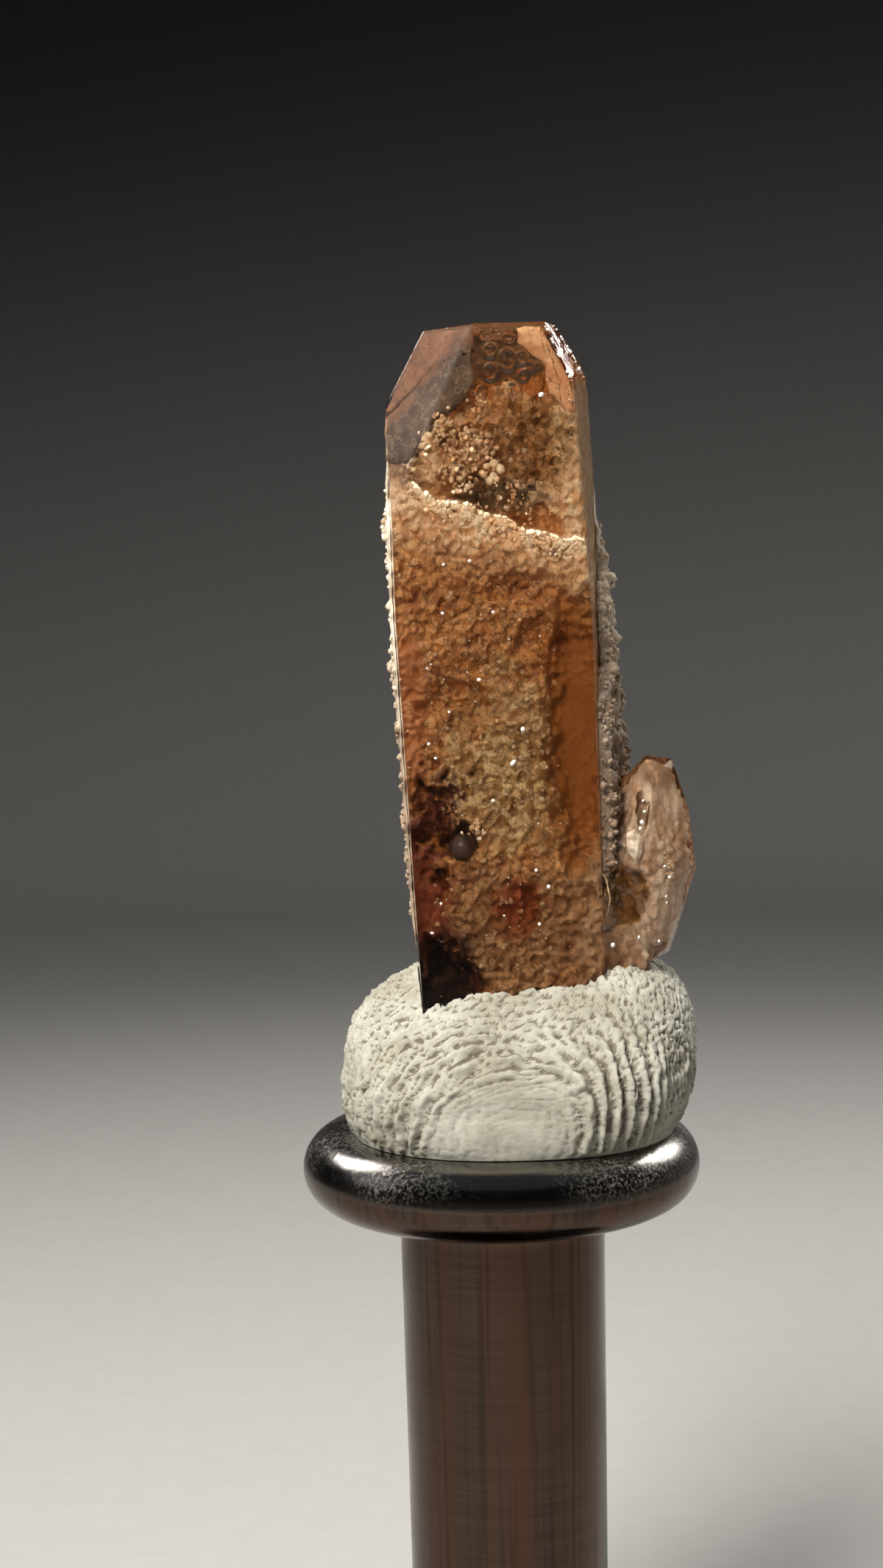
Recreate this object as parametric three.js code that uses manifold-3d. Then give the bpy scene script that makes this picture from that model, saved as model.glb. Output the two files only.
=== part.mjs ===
// A topaz crystal with a small side crystal, pressed into a lump of mineral tack on a turned metal stand.
// Millimetres, +Z up. The origin is the centre of the stand's underside and the broad crystal face looks along -Y.

import * as THREE from 'three';
import { ConvexGeometry } from 'three/addons/geometries/ConvexGeometry.js';
import { mergeVertices } from 'three/addons/utils/BufferGeometryUtils.js';
import Module from 'manifold-3d';

const wasm = await Module();
wasm.setup();

// Stand: a round foot, a slightly tapered post and a flange with a fully rounded rim.
const FOOT_RADIUS = 9.5;
const FOOT_THICKNESS = 2.5;
const FOOT_EDGE_RADIUS = 0.6;
const FOOT_CHAMFER = 0.3;
const POST_BASE_RADIUS = 2.44;
const POST_TOP_RADIUS = 2.55;
const POST_FILLET_RADIUS = 0.6;
const FLANGE_RADIUS = 4.93;
const FLANGE_MIDDLE_Z = 17.5;
const FLANGE_RIM_RADIUS = 0.95;
const FLANGE_TOP_Z = FLANGE_MIDDLE_Z + FLANGE_RIM_RADIUS;
const FLANGE_UNDERSIDE_Z = FLANGE_MIDDLE_Z - FLANGE_RIM_RADIUS;
const TURNING_STEPS = 48;
const STEPS_PER_ARC = 4;

// Tack: a rounded lump, a little off the post's axis, higher on the right than on the left.
const TACK_GAP = 0.05;
const TACK_LEVELS = [
  { z: FLANGE_TOP_Z + TACK_GAP, left: -3.65, right: 4.3, front: -3.95, back: 3.8 },
  { z: 19.4, left: -3.88, right: 4.66, front: -4.35, back: 4.2 },
  { z: 20.35, left: -3.8, right: 4.8, front: -4.25, back: 4.2 },
  { z: 21.3, left: -3.47, right: 4.76, front: -3.35, back: 3.8 },
  { z: 22.2, left: -2.39, right: 4.26, front: -1.5, back: 2.6 },
  { z: 22.7, left: -1.2, right: 3.0, front: -0.5, back: 1.3 },
];
const TACK_SQUARENESS = 2.3;
const TACK_LUMP = 0.018;
const TACK_RINGS = 22;
const TACK_STEPS = 60;
const SOCKET_GAP = 0.3;

// Where fingers pushed the tack: a shoulder raised beside the root, and a dent before the crystal's left corner.
const TACK_PUSHES = [
  { x: 3.3, y: -1.8, height: 0.75, width: 1.3 },
  { x: -2.0, y: -2.1, height: -0.3, width: 0.8 },
];

// Crystal: heights of the three levels at which the prism's corners are stated.
const PRISM_TOP_Z = 38.8;
const PRISM_BEND_Z = 31;
const PRISM_BASE_Z = 20.5;

// Depths of the prism's corners: broad front face, widest line of the two sides, and the narrower back.
const FRONT_Y = -1.75;
const LEFT_EDGE_Y = 0.3;
const RIGHT_EDGE_Y = 0.15;
const BACK_LEFT_Y = 2.2;
const BACK_RIGHT_Y = 2.1;

// Each corner of the prism: its depth, and its sideways place at the top, the bend and the base.
const PRISM_CORNERS = [
  { y: FRONT_Y, top: -2.38, bend: -2.27, base: -1.79 },
  { y: FRONT_Y, top: 1.84, bend: 2.4, base: 2.55 },
  { y: RIGHT_EDGE_Y, top: 2.4, bend: 2.78, base: 3.02 },
  { y: BACK_RIGHT_Y, top: 1.25, bend: 1.58, base: 1.85 },
  { y: BACK_LEFT_Y, top: -1.55, bend: -1.4, base: -0.95 },
  { y: LEFT_EDGE_Y, top: -2.46, bend: -2.37, base: -1.88 },
];

// Tip: corner points through which the facets pass.
const TIP_Z = 38;
const LEFT_FACET_TOP = new THREE.Vector3(-0.1, FRONT_Y, TIP_Z);
const LEFT_FACET_LOW = new THREE.Vector3(-2.1, FRONT_Y, 33.78);
const LEFT_DOME_TOP = new THREE.Vector3(-1.455, -0.6, 37.95);
const LEFT_DOME_LOW = new THREE.Vector3(-2.385, LEFT_EDGE_Y, 36.25);
const RIGHT_FACET_TOP = new THREE.Vector3(1.355, FRONT_Y, TIP_Z);
const RIGHT_FACET_LOW = new THREE.Vector3(2.003, FRONT_Y, 36.585);
const RIGHT_DOME_TOP = new THREE.Vector3(1.66, -1.08, TIP_Z);
const RIGHT_DOME_LOW = new THREE.Vector3(2.48, 0, 36.775);
const BACK_SLOPE_TOP = new THREE.Vector3(0, 0.9, 37.9);
const BACK_SLOPE_LOW = new THREE.Vector3(0, 2.2, 35.6);

// Growth step across the front face: the face above the broken ledge lies this much deeper.
const LEDGE_DEPTH = 0.12;
const LEDGE_LINE = [
  [-2.7, 34.9], [-2.0, 34.45], [-1.25, 33.86], [-0.45, 33.75], [-0.05, 33.5], [0.45, 33.42],
  [0.8, 33.12], [1.3, 33.05], [1.75, 32.88], [2.9, 32.8],
];

// Side crystal: a spindle with a small flat top, widest at its middle and narrowed again at its root.
const SIDE_FRONT_Y = -1.3;
const SIDE_MIDDLE_Y = -0.4;
const SIDE_BACK_Y = 0.75;
const SIDE_TOP = [[3.72, -0.55, 27.62], [4.35, -0.5, 27.52], [4.3, 0.1, 27.45], [3.8, 0.1, 27.5]];
const SIDE_OUTLINE = [
  [4.43, 27.25], [4.77, 26.27], [4.93, 24.83], [4.52, 23.49], [4.23, 22.73],
  [3.0, 26.88], [2.4, 25.4], [2.4, 22.9],
];
const SIDE_FRONT_RIDGE = [
  [3.84, -0.95, 27.2], [3.62, SIDE_FRONT_Y, 25.9], [3.6, SIDE_FRONT_Y, 24.2], [3.7, -1.05, 22.6],
];
const SIDE_RIGHT_BEND = [[4.35, -1.1, 24.9], [4.1, -0.9, 22.9]];
const SIDE_LEFT_BEND = [[2.7, -1.15, 25.2], [2.6, -1.2, 22.8]];
const SIDE_BACK = [[3.8, SIDE_BACK_Y, 26.2], [4.3, 0.6, 24.8], [3.6, SIDE_BACK_Y, 23.4], [2.6, SIDE_BACK_Y, 25.2]];

// Shared root of both crystals: its end inside the tack, and its upper corners in the crystals or at their foot.
const ROOT_BASE_Z = 20.9;
const ROOT_MIDDLE = { x: 2.8, y: 0 };
const ROOT_END = [[2.0, -1.7], [3.3, -1.25], [3.45, 0.5], [2.0, 0.7]];
const ROOT_SIDES = [
  [2.05, -1.73, 24.4], [2.95, -1.4, 25.0], [3.68, -1.2, 22.55], [3.78, -1.15, 23.6],
  [3.7, 0.6, 23.6], [3.68, 0.5, 22.5],
];
const ROOT_BURIED = [2.6, 0.7, 25.2];

// Crust of matrix on the crystal's back: thickness, and how far round the sides it reaches.
const CRUST_GAP = 0.08;
const CRUST_BASE_Z = 23.1;
const CRUST_TOP_Z = 34.9;
const CRUST_SUNK = 0.3;
const CRUST_THICKNESS = 0.75;
const CRUST_LEFT_PROUD = 0.06;
const CRUST_RIGHT_PROUD = 0.24;
const CRUST_RINGS = 38;
const CRUST_STEPS = 56;
const CRUST_MIDDLE = new THREE.Vector2(0.15, 0.1);

// The crust's two side limits, in degrees from straight right: the right one turns back as it rises.
const CRUST_LEFT_LIMIT = 186;
const CRUST_RIGHT_LIMITS = { lowZ: 28, lowAngle: -14, highZ: 33, highAngle: 8 };
const CRUST_EDGE_FADE = 10;
const CRUST_END_FADE = 0.9;
const CRUST_TOP_SLOPE = 0.014;

// Three waves that make the crust lumpy: height, waves round and waves upward.
const CRUST_WAVES = [
  { height: 0.1, around: 5, upward: 1.3 },
  { height: 0.08, around: 11, upward: -2.3 },
  { height: 0.06, around: 8, upward: 4.1 },
];

// Room cut in the crust for the side crystal and the root.
const SIDE_ROOM_SIZE = [4, 2.6, 6];
const SIDE_ROOM_MIDDLE = [4.35, -0.3, 24.2];

const finish = (color, roughness, metalness) => new THREE.MeshStandardMaterial({ color, roughness, metalness });
const point = (x, y, z) => new THREE.Vector3(x, y, z);

// A closed three.js geometry as a solid that can be joined and cut.
function solidOf(geometry, matrix = new THREE.Matrix4()) {
  const plain = geometry.clone().applyMatrix4(matrix);
  plain.deleteAttribute('normal');
  plain.deleteAttribute('uv');
  const merged = mergeVertices(plain, 1e-5);
  return new wasm.Manifold(new wasm.Mesh({
    numProp: 3,
    vertProperties: new Float32Array(merged.attributes.position.array),
    triVerts: new Uint32Array(merged.index.array),
  }));
}

// A solid back as a geometry for a mesh.
function geometryOf(solid) {
  const mesh = solid.getMesh();
  const geometry = new THREE.BufferGeometry();
  geometry.setAttribute('position', new THREE.BufferAttribute(Float32Array.from(mesh.vertProperties), 3));
  geometry.setIndex(new THREE.BufferAttribute(Uint32Array.from(mesh.triVerts), 1));
  geometry.computeVertexNormals();
  return geometry;
}

function namedMesh(name, geometry, material) {
  const mesh = new THREE.Mesh(geometry, material);
  mesh.name = name;
  return mesh;
}

// A large block whose one face lies in the plane through three points, on the side of its outward direction.
function blockBeyond(a, b, c, outward) {
  const size = 30;
  const normal = new THREE.Vector3().crossVectors(point(0, 0, 0).subVectors(b, a), point(0, 0, 0).subVectors(c, a));
  normal.normalize();
  if (normal.dot(outward) < 0) {
    normal.negate();
  }
  const turn = new THREE.Quaternion().setFromUnitVectors(point(0, 0, 1), normal);
  const centre = a.clone().addScaledVector(normal, size / 2);
  const place = new THREE.Matrix4().compose(centre, turn, point(1, 1, 1));
  return solidOf(new THREE.BoxGeometry(size, size, size), place);
}

// A point moved along Y, for facets that run straight back from the silhouette.
const pushedBack = (p) => point(p.x, p.y + 1, p.z);

// The prism's corners at one level, moved outward from its middle by a margin.
function prismRing(level, z, margin) {
  const middle = PRISM_CORNERS.reduce((sum, corner) => sum + corner[level], 0) / PRISM_CORNERS.length;
  return PRISM_CORNERS.map((corner) => {
    const outX = Math.sign(corner[level] - middle) * margin;
    const outY = Math.sign(corner.y) * margin;
    return point(corner[level] + outX, corner.y + outY, z);
  });
}

function prism(margin) {
  const corners = [
    ...prismRing('top', PRISM_TOP_Z + margin, margin),
    ...prismRing('bend', PRISM_BEND_Z, margin),
    ...prismRing('base', PRISM_BASE_Z - margin, margin),
  ];
  return solidOf(new ConvexGeometry(corners));
}

// The main crystal: the prism, its tip facets and the step across its front face.
function mainCrystal() {
  const left = point(-1, 0, 0);
  const right = point(1, 0, 0);
  const back = point(0, 1, 0);
  const up = point(0, 0, 1);
  const backSlopeSide = BACK_SLOPE_TOP.clone().add(right);
  return prism(0)
    .subtract(blockBeyond(RIGHT_FACET_TOP, LEFT_FACET_TOP, LEFT_DOME_TOP, up))
    .subtract(blockBeyond(LEFT_FACET_TOP, LEFT_FACET_LOW, LEFT_DOME_TOP, left))
    .subtract(blockBeyond(LEFT_DOME_TOP, LEFT_DOME_LOW, pushedBack(LEFT_DOME_TOP), left))
    .subtract(blockBeyond(RIGHT_FACET_TOP, RIGHT_FACET_LOW, RIGHT_DOME_TOP, right))
    .subtract(blockBeyond(RIGHT_DOME_TOP, RIGHT_DOME_LOW, pushedBack(RIGHT_DOME_TOP), right))
    .subtract(blockBeyond(BACK_SLOPE_TOP, BACK_SLOPE_LOW, backSlopeSide, back))
    .subtract(ledgeCut());
}

// The thin slab taken off the front face above the ledge line.
function ledgeCut() {
  const outline = new THREE.Shape();
  const above = TIP_Z + 1;
  outline.moveTo(LEDGE_LINE[0][0], above);
  LEDGE_LINE.forEach(([x, z]) => outline.lineTo(x, z));
  outline.lineTo(LEDGE_LINE.at(-1)[0], above);
  outline.closePath();
  const slab = new THREE.ExtrudeGeometry(outline, { depth: 1, bevelEnabled: false });
  const upright = new THREE.Matrix4().makeRotationX(Math.PI / 2);
  const place = new THREE.Matrix4().makeTranslation(0, FRONT_Y + LEDGE_DEPTH, 0).multiply(upright);
  return solidOf(slab, place);
}

// The side crystal, hulled round its named corners.
function sideCrystal() {
  const outline = SIDE_OUTLINE.map(([x, z]) => [x, SIDE_MIDDLE_Y, z]);
  const corners = [SIDE_TOP, outline, SIDE_FRONT_RIDGE, SIDE_RIGHT_BEND, SIDE_LEFT_BEND, SIDE_BACK].flat();
  return solidOf(new ConvexGeometry(corners.map((corner) => point(...corner))));
}

// The root that both crystals grow from, down into the tack, made wider on all sides by a margin.
function sharedRoot(margin) {
  const widened = ([x, y, z]) => {
    const outX = Math.sign(x - ROOT_MIDDLE.x) * margin;
    const outY = Math.sign(y - ROOT_MIDDLE.y) * margin;
    return point(x + outX, y + outY, z);
  };
  const end = ROOT_END.map(([x, y]) => widened([x, y, ROOT_BASE_Z - margin]));
  const sides = ROOT_SIDES.map(widened);
  return solidOf(new ConvexGeometry([...end, ...sides, widened(ROOT_BURIED)]));
}

function topazCrystal() {
  const grown = mainCrystal().add(sideCrystal()).add(sharedRoot(0));
  return namedMesh('topaz_crystal', geometryOf(grown), finish(0xb07a45, 0.08, 0));
}

// A closed skin of rings stacked upward: each ring holds the same number of points, with a flat lid at both ends.
function stackedRings(rings) {
  const count = rings[0].length;
  const positions = rings.flat().flatMap((p) => [p.x, p.y, p.z]);
  const indices = [];
  for (let level = 0; level < rings.length - 1; level++) {
    for (let i = 0; i < count; i++) {
      const a = level * count + i;
      const b = level * count + (i + 1) % count;
      indices.push(a, b, b + count, a, b + count, a + count);
    }
  }
  const lastRing = (rings.length - 1) * count;
  for (const [start, order] of [[0, -1], [lastRing, 1]]) {
    const middle = rings[start / count].reduce((sum, p) => sum.add(p), point(0, 0, 0)).divideScalar(count);
    const centre = positions.length / 3;
    positions.push(middle.x, middle.y, middle.z);
    for (let i = 0; i < count; i++) {
      const edge = [start + i, start + (i + 1) % count];
      indices.push(centre, ...(order > 0 ? edge : edge.reverse()));
    }
  }
  const geometry = new THREE.BufferGeometry();
  geometry.setAttribute('position', new THREE.Float32BufferAttribute(positions, 3));
  geometry.setIndex(indices);
  return geometry;
}

// The prism's outline at a height, between its stated levels.
function prismOutline(z) {
  const upper = z > PRISM_BEND_Z;
  const [from, to] = upper ? ['bend', 'top'] : ['base', 'bend'];
  const [low, high] = upper ? [PRISM_BEND_Z, PRISM_TOP_Z] : [PRISM_BASE_Z, PRISM_BEND_Z];
  const share = (z - low) / (high - low);
  return PRISM_CORNERS.map((c) => new THREE.Vector2(THREE.MathUtils.lerp(c[from], c[to], share), c.y));
}

// Distance from a middle point to the outline in one direction.
function reach(outline, middle, direction) {
  let nearest = Infinity;
  for (let i = 0; i < outline.length; i++) {
    const a = outline[i].clone().sub(middle);
    const edge = outline[(i + 1) % outline.length].clone().sub(outline[i]);
    const cross = direction.cross(edge);
    const along = a.cross(edge) / cross;
    const share = a.cross(direction) / cross;
    if (along > 0 && share >= -1e-6 && share <= 1 + 1e-6) {
      nearest = Math.min(nearest, along);
    }
  }
  return nearest;
}

// How far the crust stands out from the crystal, by the angle from straight right and the height.
function crustProud(angle, z) {
  const degrees = THREE.MathUtils.radToDeg(angle);
  const { lowZ, lowAngle, highZ, highAngle } = CRUST_RIGHT_LIMITS;
  const rightLimit = THREE.MathUtils.mapLinear(z, lowZ, highZ, lowAngle, highAngle);
  const inside = Math.min(degrees - rightLimit, CRUST_LEFT_LIMIT - degrees);
  const towardBack = THREE.MathUtils.smoothstep(inside, 12, 60);
  const loweredTop = CRUST_TOP_Z - CRUST_TOP_SLOPE * Math.max(0, 150 - degrees);
  const ends = Math.min(z - CRUST_BASE_Z, loweredTop - z);
  const lumps = CRUST_WAVES.reduce(
    (sum, wave) => sum + wave.height * Math.sin(angle * wave.around + z * wave.upward),
    0,
  );
  const edgeProud = degrees > 90 ? CRUST_LEFT_PROUD : CRUST_RIGHT_PROUD;
  const thickness = edgeProud + (CRUST_THICKNESS - edgeProud + lumps) * towardBack;
  const fade = Math.min(1, inside / CRUST_EDGE_FADE, ends / CRUST_END_FADE);
  return CRUST_GAP + (thickness + CRUST_SUNK) * fade - CRUST_SUNK;
}

function matrixCrust() {
  const rings = [];
  for (let level = 0; level <= CRUST_RINGS; level++) {
    const z = THREE.MathUtils.lerp(CRUST_BASE_Z - 0.4, CRUST_TOP_Z + 0.2, level / CRUST_RINGS);
    const outline = prismOutline(z);
    const ring = [];
    for (let i = 0; i < CRUST_STEPS; i++) {
      const angle = (i / CRUST_STEPS) * 2 * Math.PI - Math.PI / 2;
      const direction = new THREE.Vector2(Math.cos(angle), Math.sin(angle));
      const out = reach(outline, CRUST_MIDDLE, direction) + crustProud(angle, z);
      ring.push(point(CRUST_MIDDLE.x + direction.x * out, CRUST_MIDDLE.y + direction.y * out, z));
    }
    rings.push(ring);
  }
  const shell = solidOf(stackedRings(rings)).subtract(prism(CRUST_GAP)).subtract(sideCrystalRoom());
  const pieces = shell.decompose();
  const largest = pieces.reduce((best, piece) => (piece.volume() > best.volume() ? piece : best));
  return namedMesh('matrix_crust', geometryOf(largest), finish(0xd8cfc0, 0.9, 0));
}

// Room for the side crystal and the root inside the crust.
function sideCrystalRoom() {
  const place = new THREE.Matrix4().makeTranslation(...SIDE_ROOM_MIDDLE);
  return solidOf(new THREE.BoxGeometry(...SIDE_ROOM_SIZE), place);
}

// The tack's outer skin, smooth through its stated levels, with low lumps left by fingers.
function tackSkin() {
  const side = (name) => new THREE.SplineCurve(TACK_LEVELS.map((level) => new THREE.Vector2(level[name], level.z)));
  const [left, right, front, back] = ['left', 'right', 'front', 'back'].map(side);
  const rings = [];
  for (let level = 0; level <= TACK_RINGS; level++) {
    const share = level / TACK_RINGS;
    const limits = [left, right, front, back].map((curve) => curve.getPoint(share));
    const z = limits[0].y;
    const [x0, x1, y0, y1] = limits.map((limit) => limit.x);
    const ring = [];
    for (let i = 0; i < TACK_STEPS; i++) {
      const angle = (i / TACK_STEPS) * 2 * Math.PI;
      const across = Math.sign(Math.cos(angle)) * Math.abs(Math.cos(angle)) ** (2 / TACK_SQUARENESS);
      const deep = Math.sign(Math.sin(angle)) * Math.abs(Math.sin(angle)) ** (2 / TACK_SQUARENESS);
      const lump = 1 + TACK_LUMP * (Math.sin(angle * 3 + z) + Math.sin(angle * 5 - z * 2));
      const x = (x0 + x1) / 2 + (across * lump * (x1 - x0)) / 2;
      const y = (y0 + y1) / 2 + (deep * lump * (y1 - y0)) / 2;
      ring.push(point(x, y, z + share * tackPush(x, y)));
    }
    rings.push(ring);
  }
  return solidOf(stackedRings(rings));
}

// Height that the finger marks add to the tack at one place.
function tackPush(x, y) {
  return TACK_PUSHES.reduce((sum, push) => {
    const distance = Math.hypot(x - push.x, y - push.y);
    return sum + push.height * Math.exp(-((distance / push.width) ** 2));
  }, 0);
}

function mineralTack() {
  const lump = tackSkin().subtract(prism(SOCKET_GAP)).subtract(sharedRoot(SOCKET_GAP));
  return namedMesh('mineral_tack', geometryOf(lump), finish(0xd9d4c4, 0.85, 0));
}

// The stand is turned in one piece, so it is one profile swept round the axis, from the foot up to the flange.
function metalStand() {
  const profile = new THREE.Path();
  profile.moveTo(0, 0);
  profile.lineTo(FOOT_RADIUS - FOOT_CHAMFER, 0);
  profile.lineTo(FOOT_RADIUS, FOOT_CHAMFER);
  profile.lineTo(FOOT_RADIUS, FOOT_THICKNESS - FOOT_EDGE_RADIUS);
  profile.absarc(FOOT_RADIUS - FOOT_EDGE_RADIUS, FOOT_THICKNESS - FOOT_EDGE_RADIUS, FOOT_EDGE_RADIUS, 0, Math.PI / 2);
  profile.lineTo(POST_BASE_RADIUS + POST_FILLET_RADIUS, FOOT_THICKNESS);
  profile.absarc(POST_BASE_RADIUS + POST_FILLET_RADIUS, FOOT_THICKNESS + POST_FILLET_RADIUS, POST_FILLET_RADIUS,
    -Math.PI / 2, -Math.PI, true);
  profile.lineTo(POST_TOP_RADIUS, FLANGE_UNDERSIDE_Z - POST_FILLET_RADIUS);
  profile.absarc(POST_TOP_RADIUS + POST_FILLET_RADIUS, FLANGE_UNDERSIDE_Z - POST_FILLET_RADIUS, POST_FILLET_RADIUS,
    Math.PI, Math.PI / 2, true);
  profile.absarc(FLANGE_RADIUS - FLANGE_RIM_RADIUS, FLANGE_MIDDLE_Z, FLANGE_RIM_RADIUS, -Math.PI / 2, Math.PI / 2);
  profile.lineTo(0, FLANGE_TOP_Z);
  const outline = profile.getPoints(STEPS_PER_ARC);
  const turned = new THREE.LatheGeometry(outline, TURNING_STEPS).rotateX(Math.PI / 2);
  return namedMesh('metal_stand', turned, finish(0x8c8884, 0.18, 1));
}

const specimen = new THREE.Group();
specimen.add(metalStand(), mineralTack(), topazCrystal(), matrixCrust());
export default specimen;
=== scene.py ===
import math
import random

import bmesh
import bpy
import numpy as np
from mathutils import Euler, Matrix, Vector, noise
from mathutils.bvhtree import BVHTree


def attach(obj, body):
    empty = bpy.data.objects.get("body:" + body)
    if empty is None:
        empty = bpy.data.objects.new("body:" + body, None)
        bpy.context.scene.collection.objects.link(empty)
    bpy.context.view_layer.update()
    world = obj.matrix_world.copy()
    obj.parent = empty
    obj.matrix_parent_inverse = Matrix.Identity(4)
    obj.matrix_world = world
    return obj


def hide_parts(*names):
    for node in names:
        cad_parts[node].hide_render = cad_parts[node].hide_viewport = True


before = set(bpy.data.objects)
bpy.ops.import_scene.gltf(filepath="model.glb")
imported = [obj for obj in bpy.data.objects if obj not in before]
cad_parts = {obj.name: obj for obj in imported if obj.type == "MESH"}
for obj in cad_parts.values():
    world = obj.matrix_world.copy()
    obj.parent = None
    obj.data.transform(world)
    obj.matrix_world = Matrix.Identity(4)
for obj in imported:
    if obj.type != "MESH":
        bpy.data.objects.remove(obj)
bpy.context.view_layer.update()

# Every size below is in millimetres and is turned into metres when its mesh is made.
MM = 0.001


# The stage: a seamless bowl of matt board, pale where the stand rests and darker as it curves up behind.
# It is no part of the object. Two soft lamps stand left and right, a little behind, and a wide one above
# the front.
FLOOR_RADIUS = 170.0
BOWL_RADIUS = 320.0
BOWL_HEIGHT = 360.0


def new_mesh(name, points, faces, smooth=True):
    """A mesh object from points in millimetres."""
    mesh = bpy.data.meshes.new(name)
    mesh.from_pydata((np.asarray(points, dtype=float) * MM).tolist(), [], faces)
    mesh.polygons.foreach_set("use_smooth", [smooth] * len(mesh.polygons))
    mesh.validate()
    mesh.update()
    piece = bpy.data.objects.new(name, mesh)
    bpy.context.scene.collection.objects.link(piece)
    return piece


def turned(profile, steps):
    """Points and faces of a profile of (radius, height) swept round the upright axis, from axis to axis."""
    inner = profile[1:-1]
    angles = np.arange(steps) * 2 * math.pi / steps
    rings = [[(r * math.cos(a), r * math.sin(a), z) for a in angles] for r, z in inner]
    points = [p for ring in rings for p in ring]
    faces = []
    for level in range(len(inner) - 1):
        for i in range(steps):
            a, b = level * steps + i, level * steps + (i + 1) % steps
            faces.append((a, b, b + steps, a + steps))
    low, high = len(points), len(points) + 1
    points += [(0, 0, profile[0][1]), (0, 0, profile[-1][1])]
    last = (len(inner) - 1) * steps
    for i in range(steps):
        faces.append((low, (i + 1) % steps, i))
        faces.append((high, last + i, last + (i + 1) % steps))
    return points, faces


def arc(centre, radius, start, end, steps):
    """Points of (radius, height) along an arc, angles in degrees."""
    angles = np.radians(np.linspace(start, end, steps + 1))
    return [(centre[0] + radius * math.cos(a), centre[1] + radius * math.sin(a)) for a in angles]


def material(name):
    """A new node material: (material, node tree, its Principled shader)."""
    made = bpy.data.materials.new(name)
    made.use_nodes = True
    return made, made.node_tree, made.node_tree.nodes["Principled BSDF"]


def put(tree, kind, links=None, **settings):
    """Adds a node. Settings are its own properties, or its inputs where a socket has that name."""
    node = tree.nodes.new(kind)
    for key, value in settings.items():
        socket = node.inputs.get(key.replace("_", " "))
        if hasattr(node, key):
            setattr(node, key, value)
        elif socket is not None:
            socket.default_value = value
    for key, source in (links or {}).items():
        tree.links.new(source, node.inputs[key])
    return node


def mixed(tree, share, first, second):
    """Colour mix of two sources or plain colours by a share."""
    node = put(tree, "ShaderNodeMix", data_type="RGBA")
    for place, source in ((0, share), (6, first), (7, second)):
        if isinstance(source, bpy.types.NodeSocket):
            tree.links.new(source, node.inputs[place])
        elif isinstance(source, (int, float)):
            node.inputs[place].default_value = source
        else:
            node.inputs[place].default_value = (*source, 1)
    return node.outputs[2]


def sums(tree, operation, *terms):
    """A Math node over sources or plain numbers."""
    node = put(tree, "ShaderNodeMath", operation=operation)
    for place, term in enumerate(terms):
        if isinstance(term, bpy.types.NodeSocket):
            tree.links.new(term, node.inputs[place])
        else:
            node.inputs[place].default_value = term
    return node.outputs[0]


def times(tree, first, second):
    """The product of two sources or plain numbers."""
    return sums(tree, "MULTIPLY", first, second)


def ranged(tree, value, low, high, to_low=0.0, to_high=1.0, smooth=False):
    """A value stretched from one range to another and held inside it."""
    node = put(
        tree, "ShaderNodeMapRange", {0: value}, From_Min=low, From_Max=high, To_Min=to_low, To_Max=to_high
    )
    if smooth:
        node.interpolation_type = "SMOOTHSTEP"
    return node.outputs[0]


def noise_of(tree, where, scale, detail, roughness=0.5):
    """Cloudy noise at a place, from 0 to 1."""
    cloudy = put(
        tree, "ShaderNodeTexNoise", {"Vector": where}, Scale=scale, Detail=detail, Roughness=roughness
    )
    return cloudy.outputs["Fac"]


bowl_profile = [(0, 0), (40, 0), (100, 0)]
bowl_profile += [
    (FLOOR_RADIUS + (BOWL_RADIUS - FLOOR_RADIUS) * math.sin(a), BOWL_HEIGHT * (1 - math.cos(a)))
    for a in np.radians(np.linspace(0, 90, 25))
]
bowl_profile.append((0, BOWL_HEIGHT * 1.4))
bowl_points, bowl_faces = turned(bowl_profile, 96)
bowl_faces = [face for face in bowl_faces if len(bowl_points) - 1 not in face]
bowl = new_mesh("backdrop", bowl_points, bowl_faces)
board, tree, shader = material("matt_board")
shader.inputs["Roughness"].default_value = 0.9
place = put(tree, "ShaderNodeTexCoord").outputs["Object"]
height = put(tree, "ShaderNodeSeparateXYZ", {0: place}).outputs["Z"]
share = put(
    tree, "ShaderNodeMapRange", {0: height}, interpolation_type="SMOOTHSTEP", From_Min=-0.01, From_Max=0.13
)
speck = noise_of(tree, place, 900.0, 3.0)
pale = mixed(tree, speck, (0.40, 0.39, 0.375), (0.44, 0.43, 0.41))
tree.links.new(mixed(tree, share.outputs[0], pale, (0.085, 0.083, 0.082)), shader.inputs["Base Color"])
bowl.data.materials.append(board)

sky = bpy.data.worlds.new("room")
bpy.context.scene.world = sky
sky.use_nodes = True
sky.node_tree.nodes["Background"].inputs["Color"].default_value = (0.86, 0.93, 1.0, 1)
sky.node_tree.nodes["Background"].inputs["Strength"].default_value = 0.07


def soft_lamp(name, place, aim, size, power, colour, mirrored=True):
    """A square area lamp at a place, turned to its aim, both in millimetres."""
    lamp = bpy.data.lights.new(name, "AREA")
    lamp.size = size * MM
    lamp.energy = power
    lamp.spread = math.radians(100)
    lamp.color = colour
    holder = bpy.data.objects.new(name, lamp)
    holder.location = Vector(place) * MM
    holder.rotation_mode = "QUATERNION"
    holder.rotation_quaternion = (Vector(aim) - Vector(place)).to_track_quat("-Z", "Y")
    holder.visible_camera = False
    holder.visible_glossy = mirrored
    bpy.context.scene.collection.objects.link(holder)


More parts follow.
